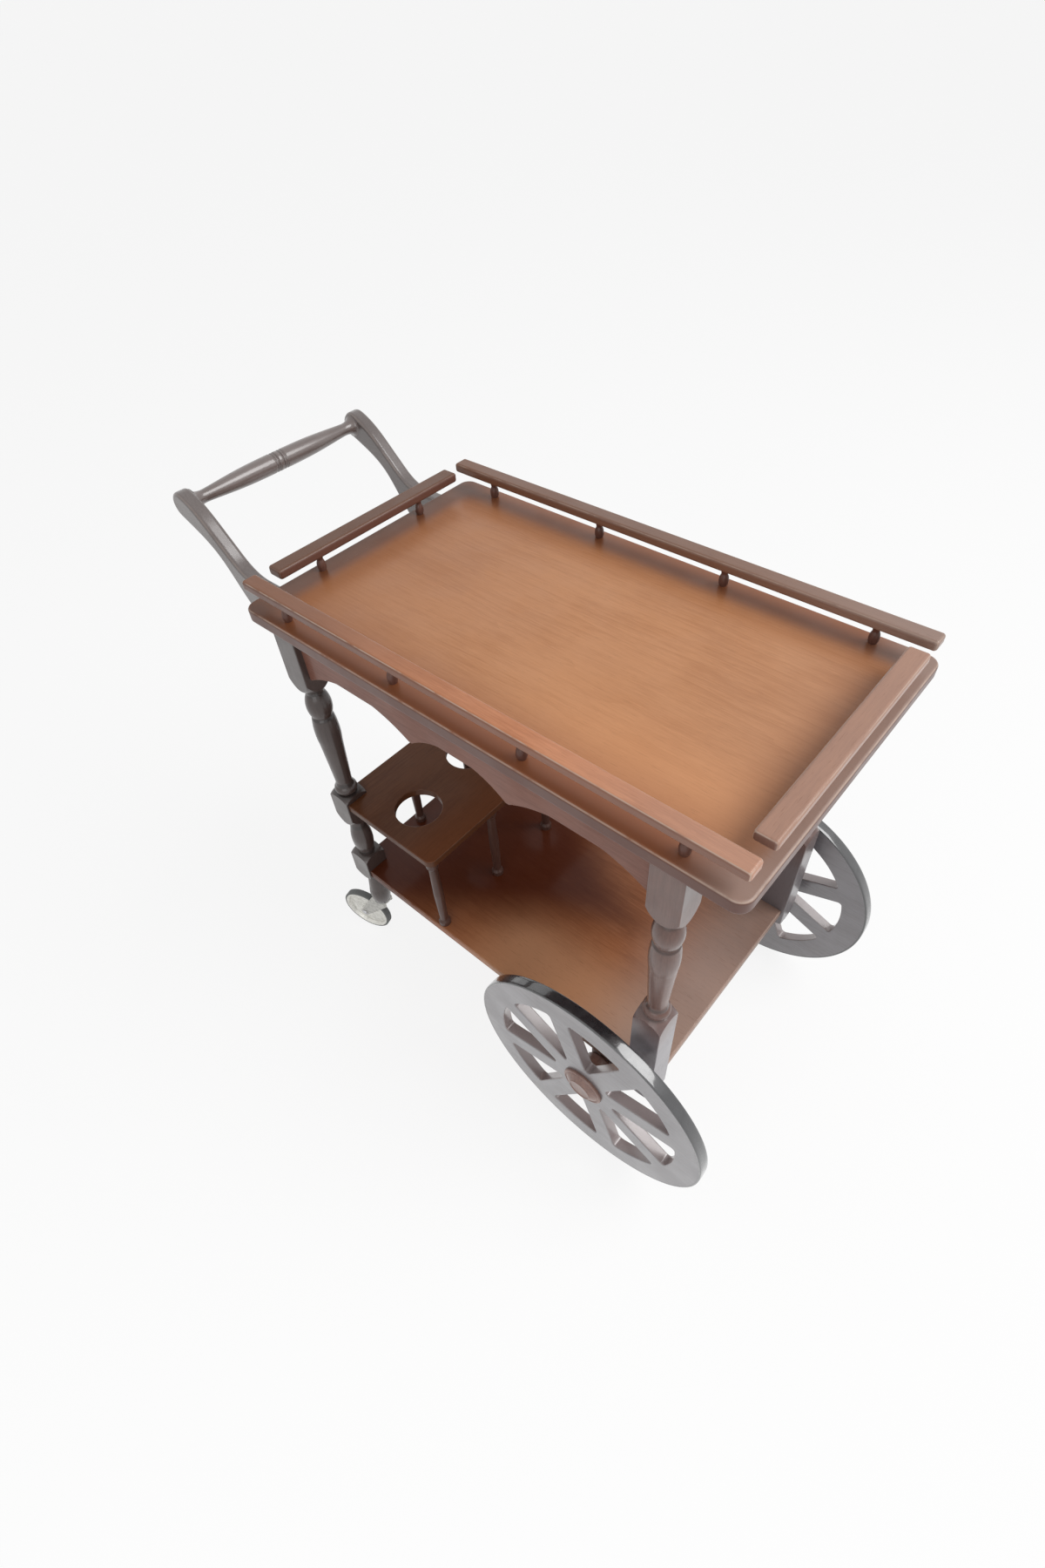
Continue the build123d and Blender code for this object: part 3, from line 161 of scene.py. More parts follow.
class CartWoods(bpy.types.PropertyGroup):
    """Colours of the stained and lacquered woods."""

    veneer_dark: colour("Veneer dark", "Late wood of the top's veneer", (0.45, 0.190, 0.075))
    veneer_light: colour("Veneer light", "Early wood of the top's veneer", (0.55, 0.252, 0.112))
    # Also the colour of the painted shade towards the push handle and along the inside of the rails
    lipping_and_shade: colour("Lipping", "Top of the board outside the rails", (0.28, 0.100, 0.042))
    # Also the colour of the painted shade on the rails' shaded sides
    edge: colour("Board edge", "Edge of the board", (0.12, 0.050, 0.036))
    rail_dark: colour("Rail dark", "Dark grain of the gallery rails", (0.26, 0.097, 0.042))
    rail_light: colour("Rail light", "Light grain of the gallery rails", (0.345, 0.142, 0.068))
    frame_dark: colour("Frame dark", "Dark grain of the legs", (0.095, 0.040, 0.029))
    frame_light: colour("Frame light", "Light grain of the legs", (0.145, 0.068, 0.050))
    apron_dark: colour("Apron dark", "Dark grain of the aprons", (0.165, 0.066, 0.045))
    apron_light: colour("Apron light", "Light grain of the aprons", (0.235, 0.104, 0.074))
    arm_dark: colour("Handle dark", "Dark grain of the push handle", (0.084, 0.060, 0.054))
    arm_light: colour("Handle light", "Light grain of the push handle", (0.122, 0.095, 0.088))
    shelf_dark: colour("Shelf dark", "Dark grain of the shelves", (0.24, 0.080, 0.030))
    shelf_light: colour("Shelf light", "Light grain of the shelves", (0.37, 0.140, 0.060))
    wheel_dark: colour("Wheel dark", "Dark grain of the wheels", (0.105, 0.091, 0.096))
    wheel_light: colour("Wheel light", "Light grain of the wheels", (0.162, 0.150, 0.163))
    wall: colour("Spoke walls", "Cut walls of the spokes", (0.29, 0.240, 0.238))
    boss_dark: colour("Boss dark", "Dark grain of the hubs and bosses", (0.155, 0.072, 0.053))
    boss_light: colour("Boss light", "Light grain of the hubs and bosses", (0.29, 0.155, 0.118))
    worn: colour("Worn wood", "Pale wood where the lacquer has rubbed through", (0.55, 0.42, 0.34))
    # Faded wood, and the colour of the painted light towards the wheels on the top, the rails and the lower
    # shelf
    faded_and_lit: colour("Faded wood", "Wood that daylight has bleached towards the wheels", (0.44, 0.33, 0.285))


class CartMetals(bpy.types.PropertyGroup):
    """Colours of the metal, tread and tyres."""

    steel: colour("Steel", "Axle, nuts, washers, pins and screws", (0.52, 0.52, 0.53))
    zinc: colour("Zinc plate", "Pressed caster wheels", (0.70, 0.69, 0.645))
    fork: colour("Fork", "Dulled plate of the caster forks", (0.50, 0.49, 0.46))
    tread: colour("Tread", "Band round the large wheels", (0.018, 0.018, 0.021))
    tyre: colour("Tyre", "Tyres of the casters", (0.15, 0.155, 0.152))


class CartSizes(bpy.types.PropertyGroup):
    """Sizes of the pieces made here."""

    boss_bead: length("Boss bead", "Height of the bead round the middle of the wheel boss", 0.0011)
    grip: length("Grip", "Radius of the grip where it swells", 0.0152)
    grip_neck: length("Grip neck", "Radius of the grip's necks", 0.0092)
    grip_flare: length("Grip flare", "Radius of the grip's ends against the arms", 0.0182)
    tread_crown: length("Tread crown", "How much lower the tread is at its edges than in its middle", 0.0007)
    press_depth: length("Pressing depth", "Height of the pressed lobes on the caster wheels", 0.0024)
    press_count: count("Pressings", "Pressed lobes on each caster wheel", 5, 0, 12)
    turns: count("Steps round", "Faces round a turned piece", 128, 16, 512)


class CartStudio(bpy.types.PropertyGroup):
    """The camera, floor and light."""

    eye: point("Eye", "Where the camera stands", (0.6199, -0.6551, 1.4510))
    azimuth: angle("Azimuth", "Camera's turn from -Y towards +X", 44.46)
    elevation: angle("Elevation", "How far the camera looks down", 47.54)
    roll: angle("Roll", "Camera's turn about its line of sight", 4.60)
    lens: FloatProperty(
        name="Lens", description="Focal length on a 36 mm frame", unit="CAMERA", default=17.958)
    floor_size: length("Floor", "Half width of the floor", 90.0)
    floor: colour("Floor colour", "Plain pale floor", (0.96, 0.96, 0.96))
    floor_white: FloatProperty(
        name="Floor white", description="How far the camera sees the floor as plain white", subtype="FACTOR",
        default=0.85, min=0, max=1)
    sky: FloatProperty(name="Sky", description="Even light from all round", default=0.42, min=0)
    lamp: power("Main light", "Power of the large light beyond the wheels", 125.0)
    lamp_size: length("Main light size", "Width of the large light", 2.8)
    lamp_place: point("Main light place", "Where the large light hangs", (2.74, 1.31, 3.91))
    fill: power("Fill light", "Power of the light on the near side", 9.0)
    fill_size: length("Fill light size", "Width of the light on the near side", 1.4)
    fill_place: point("Fill light place", "Where the light on the near side stands", (0.9, -1.9, 1.3))
    aim: point("Aim", "Where both lights point", (0.1, 0.0, 0.6))


# Node helpers

def node(tree, kind, inputs=None, **settings):
    """Adds a node. An input is a plain value, or the socket of another node to link."""
    made = tree.nodes.new(kind)
    for key, value in settings.items():
        setattr(made, key, value)
    for key, value in (inputs or {}).items():
        socket = made.inputs[key]
        if isinstance(value, bpy.types.NodeSocket):
            tree.links.new(value, socket)
        else:
            socket.default_value = value
    return made


def math_node(tree, operation, a, b=0.0, c=0.0):
    """One Math node's result."""
    return node(tree, "ShaderNodeMath", {0: a, 1: b, 2: c}, operation=operation).outputs[0]


def times(tree, a, b):
    """The product of two values."""
    return math_node(tree, "MULTIPLY", a, b)


def split(tree, vector):
    """The three parts of a vector."""
    return node(tree, "ShaderNodeSeparateXYZ", {0: vector}).outputs


def mixed(tree, factor, a, b):
    """Colour a towards colour b by the factor."""
    return node(tree, "ShaderNodeMix", {0: factor, 6: a, 7: b}, data_type="RGBA").outputs[2]


def layered(tree, shade, *layers):
    """A colour under layers, each with where it shows and its own colour, the last on top."""
    for share, tint in layers:
        shade = mixed(tree, share, shade, tint)
    return shade


def spread(tree, value, low, high, to_low=0.0, to_high=1.0):
    """Smooth step of a value between low and high, which may fall."""
    made = node(
        tree, "ShaderNodeMapRange",
        {"Value": value, "From Min": low, "From Max": high, "To Min": to_low, "To Max": to_high},
        interpolation_type="SMOOTHSTEP")
    return made.outputs["Result"]


def noise(tree, vector, scale, detail=3.0, roughness=0.55):
    """Fractal noise about one half."""
    made = node(
        tree, "ShaderNodeTexNoise",
        {"Vector": vector, "Scale": scale, "Detail": detail, "Roughness": roughness})
    return made.outputs["Fac"]


def seen_white(tree):
    """1 for what the camera sees straight, in a mirror or through glass, and 0 for light on the cart."""
    seen = node(tree, "ShaderNodeLightPath").outputs
    direct = math_node(tree, "MAXIMUM", seen["Is Camera Ray"], seen["Is Glossy Ray"])
    return math_node(tree, "MAXIMUM", direct, seen["Is Transmission Ray"])


def toned(rgb, share):
    """A colour made that much lighter or darker."""
    return [share * c for c in rgb]


def blended(first, share, second, other):
    """So much of one colour with so much of another."""
    return [share * a + other * b for a, b in zip(first, second)]


def opaque(rgb, share=1.0):
    """A colour, made that much lighter or darker, as a socket's four numbers."""
    return (*toned(rgb, share), 1.0)


def blank(name):
    """A new material: its tree, its shader and the piece's own coordinates."""
    material = bpy.data.materials.new(name)
    material.use_nodes = True
    tree = material.node_tree
    shader = next(n for n in tree.nodes if n.type == "BSDF_PRINCIPLED")
    return material, tree, shader, node(tree, "ShaderNodeTexCoord")


def surface(tree, shader, shade, rough, height, relief):
    """Links a shader's colour and roughness, and a bump with the relief's strength and distance."""
    strength, distance = relief
    bump = node(tree, "ShaderNodeBump", {"Strength": strength, "Distance": distance, "Height": height})
    tree.links.new(shade, shader.inputs["Base Color"])
    tree.links.new(rough, shader.inputs["Roughness"])
    tree.links.new(bump.outputs[0], shader.inputs["Normal"])


def lacquer(shader, weight, rough, index):
    """Sets a shader's clear coat."""
    shader.inputs["Coat Weight"].default_value = weight
    shader.inputs["Coat Roughness"].default_value = rough
    shader.inputs["Coat IOR"].default_value = index


def paint(material, *pieces):
    """Gives the pieces that one material."""
    for piece in pieces:
        piece.data.materials.clear()
        piece.data.materials.append(material)


def nodes_named(*starts):
    """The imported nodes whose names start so."""
    return [piece for name, piece in NODES.items() if name.startswith(starts)]


# Materials

def arris(tree, place, kind):
    """1 on rounded arrises and 0 on flats. A box's flats have one large normal component; a cut-out
    board's faces and walls have a component along its thickness of 1 and of 0."""
    bare = node(tree, "ShaderNodeVectorMath", {0: place.outputs["Normal"]}, operation="ABSOLUTE").outputs[0]
    sizes = split(tree, bare)
    if kind == "box":
        largest = math_node(tree, "MAXIMUM", math_node(tree, "MAXIMUM", sizes[0], sizes[1]), sizes[2])
        return spread(tree, largest, 0.86, 0.75)
    size = sizes["XYZ".index(kind)]
    return times(tree, spread(tree, size, 0.45, 0.62), spread(tree, size, 0.92, 0.80))


def bands(tree, own, heights):
    """Soft dark bands round a turned piece: 0.75 at each height, falling to 0 at its half width."""
    z = split(tree, own)[2]
    found = None
    for middle, half in heights:
        off = math_node(tree, "ABSOLUTE", math_node(tree, "SUBTRACT", z, middle))
        band = spread(tree, off, half, 0.0, 0.0, 0.75)
        found = math_node(tree, "MAXIMUM", found, band) if found else band
    return found


def lacquered(
        name, grain, dark, light, worn, *, ring=0.012, rings=0.2, figure=10.0, shift=(0, 0, 0),
        tilt=(0, 0, 0), edges=None, wear=0.5, gloss=0.16, coat=1.0, shine=1.5, under=0.5, grooves=(),
        stain_and_light=None):
    """Stained wood under lacquer. Growth rings are a saw wave of the distance from a leaning axis along
    the grain, raised to a power for thin late wood; streaks, fibres, flecks and pores are noise drawn out
    along the grain; the lacquer rubs thin at the arrises, partly a painted highlight on the rails, and the
    wood is darker in bands at the given heights of the grooves. stain_and_light adds stains and painted
    light and shade. ring is a growth ring's width, rings how much they show and figure how wavy they are;
    shift and tilt place their axis; gloss, coat and shine are the coat's roughness, weight and index, and
    under is the specular level of the wood under it."""
    material, tree, shader, place = blank(name)
    own = place.outputs["Object"]
    axis = "XYZ".index(grain)

    def drawn(scales, location=(0, 0, 0), rotation=(0, 0, 0)):
        """The piece's coordinates at one scale along the grain and another across it."""
        lengthwise, across = scales
        scale = [across] * 3
        scale[axis] = lengthwise
        return node(tree, "ShaderNodeMapping", {
            "Vector": own, "Scale": scale, "Location": location, "Rotation": rotation}).outputs[0]

    growth = node(tree, "ShaderNodeTexWave", {
        "Vector": drawn(RING_SCALE, shift, tilt), "Scale": WAVE_WIDTH / ring, "Distortion": figure,
        "Detail": 3.0, "Detail Scale": DETAIL_WIDTH / ring, "Detail Roughness": 0.6},
        wave_type="RINGS", rings_direction=grain, wave_profile="SAW").outputs["Fac"]
    late = math_node(tree, "POWER", growth, 2.5)
    streak = noise(tree, drawn(STREAK_SCALE), 1.0, 4.0, 0.6)
    fibre = noise(tree, drawn(FIBRE_SCALE), 1.0, 5.0, 0.65)
    fleck = spread(tree, noise(tree, drawn(FLECK_SCALE, FLECK_SHIFT), 1.0, 3.0), 0.55, 0.72)
    pores = spread(tree, noise(tree, drawn(PORE_SCALE), 1.0, 2.0), 0.40, 0.28)
    cloud = noise(tree, own, CLOUD_SCALE, 4.0)
    smear = noise(tree, own, SMEAR_SCALE, 4.0)

    tone = times(tree, late, LATE_SHARE * rings)
    for part, share in ((streak, STREAK_SHARE), (fibre, FIBRE_SHARE), (cloud, CLOUD_SHARE)):
        tone = math_node(tree, "ADD", tone, times(tree, part, share))
    tone = spread(tree, tone, TONE_LOW - TONE_DROP * rings, TONE_HIGH - TONE_DROP * rings)
    shade = mixed(tree, tone, opaque(dark), opaque(light))
    bright = opaque([min(1.0, 1.25 * c) for c in light])
    shade = mixed(tree, times(tree, fleck, 0.22), shade, bright)
    if stain_and_light:
        shade = stain_and_light(tree, place, shade)
    shade = mixed(tree, times(tree, pores, 0.3), shade, opaque(dark, 0.55))
    # Paler rounded arrises: worn lacquer, and on the rails partly a painted highlight
    if edges:
        patches = spread(tree, noise(tree, own, PATCH_SCALE, 4.0), 0.30, 0.56)
        lightened = times(tree, times(tree, arris(tree, place, edges), patches), wear)
        shade = mixed(tree, lightened, shade, opaque(worn))
    # Darker in bands at the grooves' heights
    if grooves:
        shade = mixed(tree, bands(tree, own, grooves), shade, opaque(dark, 0.3))
    rough = spread(tree, smear, 0.3, 0.7, 0.38, 0.56)
    height = math_node(tree, "SUBTRACT", times(tree, fibre, 0.4), times(tree, pores, 0.6))
    surface(tree, shader, shade, rough, height, WOOD_RELIEF)
    shader.inputs["Specular IOR Level"].default_value = under
    lacquer(shader, coat, gloss, shine)
    return material


def metal(name, tint, smooth, grime):
    """Plated steel with cloudy roughness and dull grime in blotches."""
    material, tree, shader, place = blank(name)
    own = place.outputs["Object"]
    cloud = noise(tree, own, 150.0, 5.0, 0.6)
    fine = noise(tree, own, 700.0, 3.0)
    dull = times(tree, spread(tree, cloud, 0.42, 0.68), grime)
    shade = mixed(tree, dull, opaque(tint), opaque(tint, 0.45))
    rough = spread(tree, cloud, 0.3, 0.7, smooth, smooth + 0.2)
    surface(tree, shader, shade, rough, fine, METAL_RELIEF)
    shader.inputs["Metallic"].default_value = 0.9
    return material


def rubber(name, tint, smooth, coat):
    """Dark rubber: scuffed roughness, grey dust in blotches and a fine moulded grain."""
    material, tree, shader, place = blank(name)
    own = place.outputs["Object"]
    scuff = noise(tree, own, 60.0, 6.0, 0.65)
    grain = noise(tree, own, 900.0, 2.0)
    dust = times(tree, spread(tree, scuff, 0.5, 0.75), 0.2)
    shade = mixed(tree, dust, opaque(tint), opaque([0.06 + 1.5 * c for c in tint]))
    rough = spread(tree, scuff, 0.3, 0.7, smooth, smooth + 0.18)
    surface(tree, shader, shade, rough, grain, RUBBER_RELIEF)
    lacquer(shader, coat, 0.08, 1.75)
    return material


# New surfaces

def put_mesh(name, points, faces, body, stands_for):
    """An object from whole arrays of points and faces, which rides on a body and stands for a node."""
    mesh = bpy.data.meshes.new(name)
    mesh.from_pydata(points.tolist(), [], faces)
    if mesh.validate():
        raise RuntimeError(f"{name} has faulty faces")
    mesh.polygons.foreach_set("use_smooth", np.ones(len(mesh.polygons), bool))
    mesh.update()
    piece = bpy.data.objects.new(name, mesh)
    bpy.context.scene.collection.objects.link(piece)
    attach(piece, body)
    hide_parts(stands_for)
    return piece


def frame_about(axis):
    """Two unit vectors square to an axis and to each other, and the unit axis, right-handed in that order."""
    w = np.asarray(axis, float) / np.linalg.norm(axis)
    u = np.cross(w, (0.0, 0.0, 1.0))
    u /= np.linalg.norm(u)
    return u, np.cross(w, u), w


def swept_round(radius, height, centre, axis):
    """Points c + r cos(t) u + r sin(t) v + h w of grids r and h, whose second index is the turn t."""
    u, v, w = frame_about(axis)
    turn = np.linspace(0, 2 * np.pi, radius.shape[1], endpoint=False)
    c, s = np.cos(turn)[None, :, None], np.sin(turn)[None, :, None]
    points = np.asarray(centre) + radius[..., None] * (c * u + s * v) + height[..., None] * w
    return points.reshape(-1, 3)


def turned(profile, centre, axis, turns):
    """Points of a profile, radius and height in each row, that is the same at every turn about an axis."""
    ones = np.ones((1, turns))
    return swept_round(profile[:, :1] * ones, profile[:, 1:] * ones, centre, axis)


def loop_faces(rows, columns):
    """Quads of a grid that closes on itself both ways."""
    i, j = np.meshgrid(np.arange(rows), np.arange(columns), indexing="ij")
    after, beside = (i + 1) % rows, (j + 1) % columns
    corners = i * columns + j, i * columns + beside, after * columns + beside, after * columns + j
    return np.stack(corners, -1).reshape(-1, 4).tolist()


def pole_faces(rows, columns):
    """Quads of a grid that closes round, and fans to a pole before its first row and after its last."""
    i, j = np.meshgrid(np.arange(rows - 1), np.arange(columns), indexing="ij")
    near, beside = i * columns + j, i * columns + (j + 1) % columns
    quads = np.stack([near, beside, beside + columns, near + columns], -1).reshape(-1, 4)
    k = np.arange(columns)
    k_next = (k + 1) % columns
    base, pole = (rows - 1) * columns, rows * columns
    first = np.stack([np.full(columns, pole), k_next, k], -1)
    last = np.stack([np.full(columns, pole + 1), base + k, base + k_next], -1)
    return quads.tolist() + first.tolist() + last.tolist()


def along(*corners, steps=6):
    """Points along a run of straight cuts, each cut in even steps, ends not doubled."""
    corners = np.asarray(corners, float)
    share = np.linspace(0, 1, steps, endpoint=False)[:, None]
    runs = corners[:-1, None] + share[None] * (corners[1:] - corners[:-1])[:, None]
    return np.concatenate([runs.reshape(-1, 2), corners[-1:]])


def boss_profile(radius, proud, bead):
    """Radius and height of a wheel boss from the hollow's pole to its middle: a flat back, a quarter-round
    rim, a scribed half-round groove, a cone up to a half-round bead, and a dished middle
    h = top - depth (1 - (r / reach) squared)."""
    wall, top = BOSS_WALL * proud, proud - bead
    hollow = along((BOSS_HOLLOW, BOSS_DEPTH), (BOSS_HOLLOW, 0.0), (radius, 0.0), (radius, wall), steps=8)
    t = np.linspace(0, np.pi / 2, 12)[1:]
    rim = np.stack([radius - BOSS_RIM * (1 - np.cos(t)), wall + BOSS_RISE * np.sin(t)], 1)
    t = np.linspace(0, np.pi, 18)[1:]
    groove = np.stack([rim[-1, 0] - BOSS_GROOVE * t / np.pi, rim[-1, 1] - bead * np.sin(t)], 1)
    shoulder = BOSS_SHOULDER * radius
    cone = along(groove[-1], (shoulder, top), steps=14)[1:]
    bulge = np.stack([shoulder - BOSS_BEAD * t / np.pi, top + bead * np.sin(t)], 1)
    reach, depth = bulge[-1, 0], BOSS_DISH * bead
    r = np.linspace(reach, 0.0, 18)[1:-1]
    dish = np.stack([r, top - depth * (1 - (r / reach) ** 2)], 1)
    return np.concatenate([hollow, rim, groove, cone, bulge, dish])


def make_boss(name, sign, sizes, material):
    """Turned boss on a wheel's outer face, hollow over the axle's end."""
    low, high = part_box(f"wheel_cap_{name}")
    centre = (np.array(low) + np.array(high)) / 2
    centre[1] = low.y if sign > 0 else high.y
    proud, radius = high.y - low.y, (high.x - low.x) / 2
    axis = np.array((0.0, sign, 0.0))
    profile = boss_profile(radius, proud, sizes.boss_bead)
    poles = [centre + axis * end for end in (BOSS_DEPTH, proud - (1 + BOSS_DISH) * sizes.boss_bead)]
    points = np.concatenate([turned(profile, centre, axis, sizes.turns), poles])
    piece = put_mesh(
        f"wheel_boss_{name}", points, pole_faces(len(profile), sizes.turns),
        f"big_wheel_{name}", f"wheel_cap_{name}")
    paint(material, piece)


def grip_profile(half, tenon, sizes):
    """Radius and place along half a grip. With q = place / half, r = neck + (swell - neck) cos squared of
    (q to the swell's power) quarter turns, plus an elliptical flare (1 - root of 1 - t squared) over the last
    run, less two round grooves beside the middle ring. The flare ends against the arm, and a tenon goes on
    into it."""
    rest = GRIP_MIDDLE + (half - GRIP_MIDDLE) * np.sin(np.linspace(0, np.pi / 2, 90))
    s = np.concatenate([np.linspace(0, GRIP_MIDDLE, 43)[:-1], rest])
    swell = np.cos(np.pi / 2 * (s / half) ** GRIP_SWELL) ** 2
    body = sizes.grip_neck + (sizes.grip - sizes.grip_neck) * swell
    t = np.clip((s - half + GRIP_RUN) / GRIP_RUN, 0, 1)
    flare = (sizes.grip_flare - sizes.grip_neck) * (1 - np.sqrt(1 - t**2))
    cuts = sum(depth * np.exp(-((s - middle) / width) ** 2) for depth, middle, width in GRIP_GROOVES)
    tip = half + tenon
    end = along(
        (body[-1] + flare[-1], half), (GRIP_TENON, half), (GRIP_TENON, tip), (GRIP_TIP, tip), steps=5)
    return np.concatenate([np.stack([body + flare - cuts, s], 1), end[1:]])


def make_grip(sizes, material):
    """Turned grip between the arms, the same each way from its middle."""
    low, high = (np.array(corner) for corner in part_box("handle_grip"))
    centre = (low + high) / 2
    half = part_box("handle_arm_left")[0].y - centre[1]
    side = grip_profile(half, high[1] - centre[1] - half, sizes)
    profile = np.concatenate([side[:0:-1] * (1, -1), side])
    poles = centre + np.array([(0, low[1] - centre[1], 0), (0, high[1] - centre[1], 0)])
    points = np.concatenate([turned(profile, centre, (0.0, 1.0, 0.0), sizes.turns), poles])
    piece = put_mesh(
        "turned_grip", points, pole_faces(len(profile), sizes.turns), "chassis", "handle_grip")
    paint(material, piece)


def make_tread(name, sizes, material):
    """Tread band: inner wall, and an outer crown r = R - c |s| to the fourth with s from -1 to 1."""
    low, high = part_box(f"wheel_tyre_{name}")
    centre = (np.array(low) + np.array(high)) / 2
    half, radius = (high.y - low.y) / 2, (high.z - low.z) / 2
    inner, turns = radius - TREAD_THICK, 2 * sizes.turns
    s = np.linspace(-1, 1, 33)
    crown = np.stack([radius - sizes.tread_crown * s**4, half * s * (1 - TREAD_DRAW * s**8)], 1)
    wall = np.stack([np.full(9, inner), np.linspace(half, -half, 9)], 1)
    edge = along((inner, -half), (radius - TREAD_SIDE, -half), steps=3)
    profile = np.concatenate([crown, edge[::-1] * (1, -1), wall[1:-1], edge])
    piece = put_mesh(
        f"wheel_tread_{name}", turned(profile, centre, (0.0, 1.0, 0.0), turns),
        loop_faces(len(profile), turns), f"big_wheel_{name}", f"wheel_tyre_{name}")
    paint(material, piece)


def caster_profile():
    """Radius and height of one side of a caster wheel from its bore to its rim, and the share of the pressing
    there: the smooth step of how far the place is inside the pressed ring."""
    hub = along(*CASTER_HUB, steps=4)
    web = along(CASTER_HUB[-1], CASTER_LIP[0], steps=34)[1:]
    lip = along(*CASTER_LIP, steps=5)[1:]
    side = np.concatenate([hub, web, lip])
    r = side[:, 0]
    share = np.clip((r - PRESS_INNER) / PRESS_RISE, 0, 1) * np.clip((PRESS_OUTER - r) / PRESS_RISE, 0, 1)
    return side, share**2 * (3 - 2 * share)


def make_caster_wheel(name, sizes, material):
    """Pressed caster wheel: the web's height is w + d m(r) (1 + cos n t) squared / 4, alike on both sides."""
    joint = next(j for j in frame["joints"] if j["name"] == f"{name}_caster_roll")
    side, share = caster_profile()
    turn = np.linspace(0, 2 * np.pi, sizes.turns, endpoint=False)
    lobes = ((1 + np.cos(sizes.press_count * turn)) / 2) ** 2
    press = side[:, 1:] + sizes.press_depth * share[:, None] * lobes[None]
    radius = np.repeat(side[:, :1], sizes.turns, 1)
    loop_r = np.concatenate([radius, radius[::-1]])
    loop_h = np.concatenate([press, -press[::-1]])
    points = swept_round(loop_r, loop_h, joint["pos_m"], joint["axis"])
    faces = [face[::-1] for face in loop_faces(2 * len(side), sizes.turns)]
    piece = put_mesh(
        f"pressed_wheel_{name}", points, faces, f"roller_{name}", f"caster_wheel_{name}")
    paint(material, piece)


# Operators

class CART_OT_top(bpy.types.Operator):
    """Veneers the top board"""

    bl_idname = "cart.top"
    bl_label = "Top Board"

    def execute(self, context):
        woods = context.scene.cart_woods
        low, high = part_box("top_board")
        middle = (low + high) / 2
        rail_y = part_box("side_rail_left")[0].y
        rail_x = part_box("end_rail_wheel")[0].x - middle.x

        def lipping_and_shade(tree, place, shade):
            """Painted shade, partly dirt, that deepens towards the rails, dark wood outside them with painted
            shade under the rails, and darker still on the edge. The middle has painted shade towards the push
            handle and painted light towards the wheels and the right side."""
            centred = node(tree, "ShaderNodeMapping", {
                "Vector": place.outputs["Object"], "Location": (-middle.x, 0, 0)}).outputs[0]
            x, y, _ = split(tree, centred)
            up = split(tree, place.outputs["Normal"])[2]
            past_y = math_node(tree, "SUBTRACT", math_node(tree, "ABSOLUTE", y), rail_y)
            past_x = math_node(tree, "SUBTRACT", math_node(tree, "ABSOLUTE", x), rail_x)
            past = math_node(tree, "SMOOTH_MAX", past_x, past_y, CORNER_SOFTNESS)
            clear = math_node(tree, "SUBTRACT", past_x, spread(tree, x, -0.1, 0.35, 0.0, 0.02))
            outside = math_node(tree, "SMOOTH_MAX", clear, past_y, CORNER_SOFTNESS)
            # Painted light, a sheen, on the near side towards the wheels
            painted_light = times(tree, spread(tree, x, -0.03, 0.22), spread(tree, y, -0.02, -0.17, 0.0, 0.6))
            # Dark wood outside the rails with painted shade under them, paler at the wheel end, darker at the
            # handle end
            margin = layered(
                tree, opaque(woods.lipping_and_shade),
                (spread(tree, x, 0.30, 0.39, 0.0, 0.75), opaque(woods.faded_and_lit, 0.75)),
                (spread(tree, x, -0.31, -0.39, 0.0, 0.85), opaque(woods.lipping_and_shade, 0.45)))
            return layered(
                tree, shade,
                # Painted shade towards the push handle
                (spread(tree, x, 0.05, -0.42, 0.0, 0.42), opaque(woods.lipping_and_shade)),
                # Painted light towards the wheels
                (spread(tree, x, 0.1, 0.40, 0.0, 0.12), opaque(woods.faded_and_lit)),
                (painted_light, opaque(woods.veneer_light, 1.3)),
                # Painted shade along the inside of the rails, partly dirt
                (spread(tree, past, -0.085, 0.0, 0.0, 0.5), opaque(woods.lipping_and_shade)),
                (spread(tree, outside, -0.024, 0.004), margin),
                (spread(tree, up, 0.75, 0.25), opaque(woods.edge)))

        paint(lacquered(
            "top_lacquer", "X", woods.veneer_dark, woods.veneer_light, woods.worn, ring=0.016, figure=13.0,
            shift=(0.0, 0.045, -0.75), tilt=(0, 0.45, 0), edges="Z", wear=0.6, gloss=0.24, coat=0.4,
            under=0.25, stain_and_light=lipping_and_shade), NODES["top_board"])
        return {"FINISHED"}


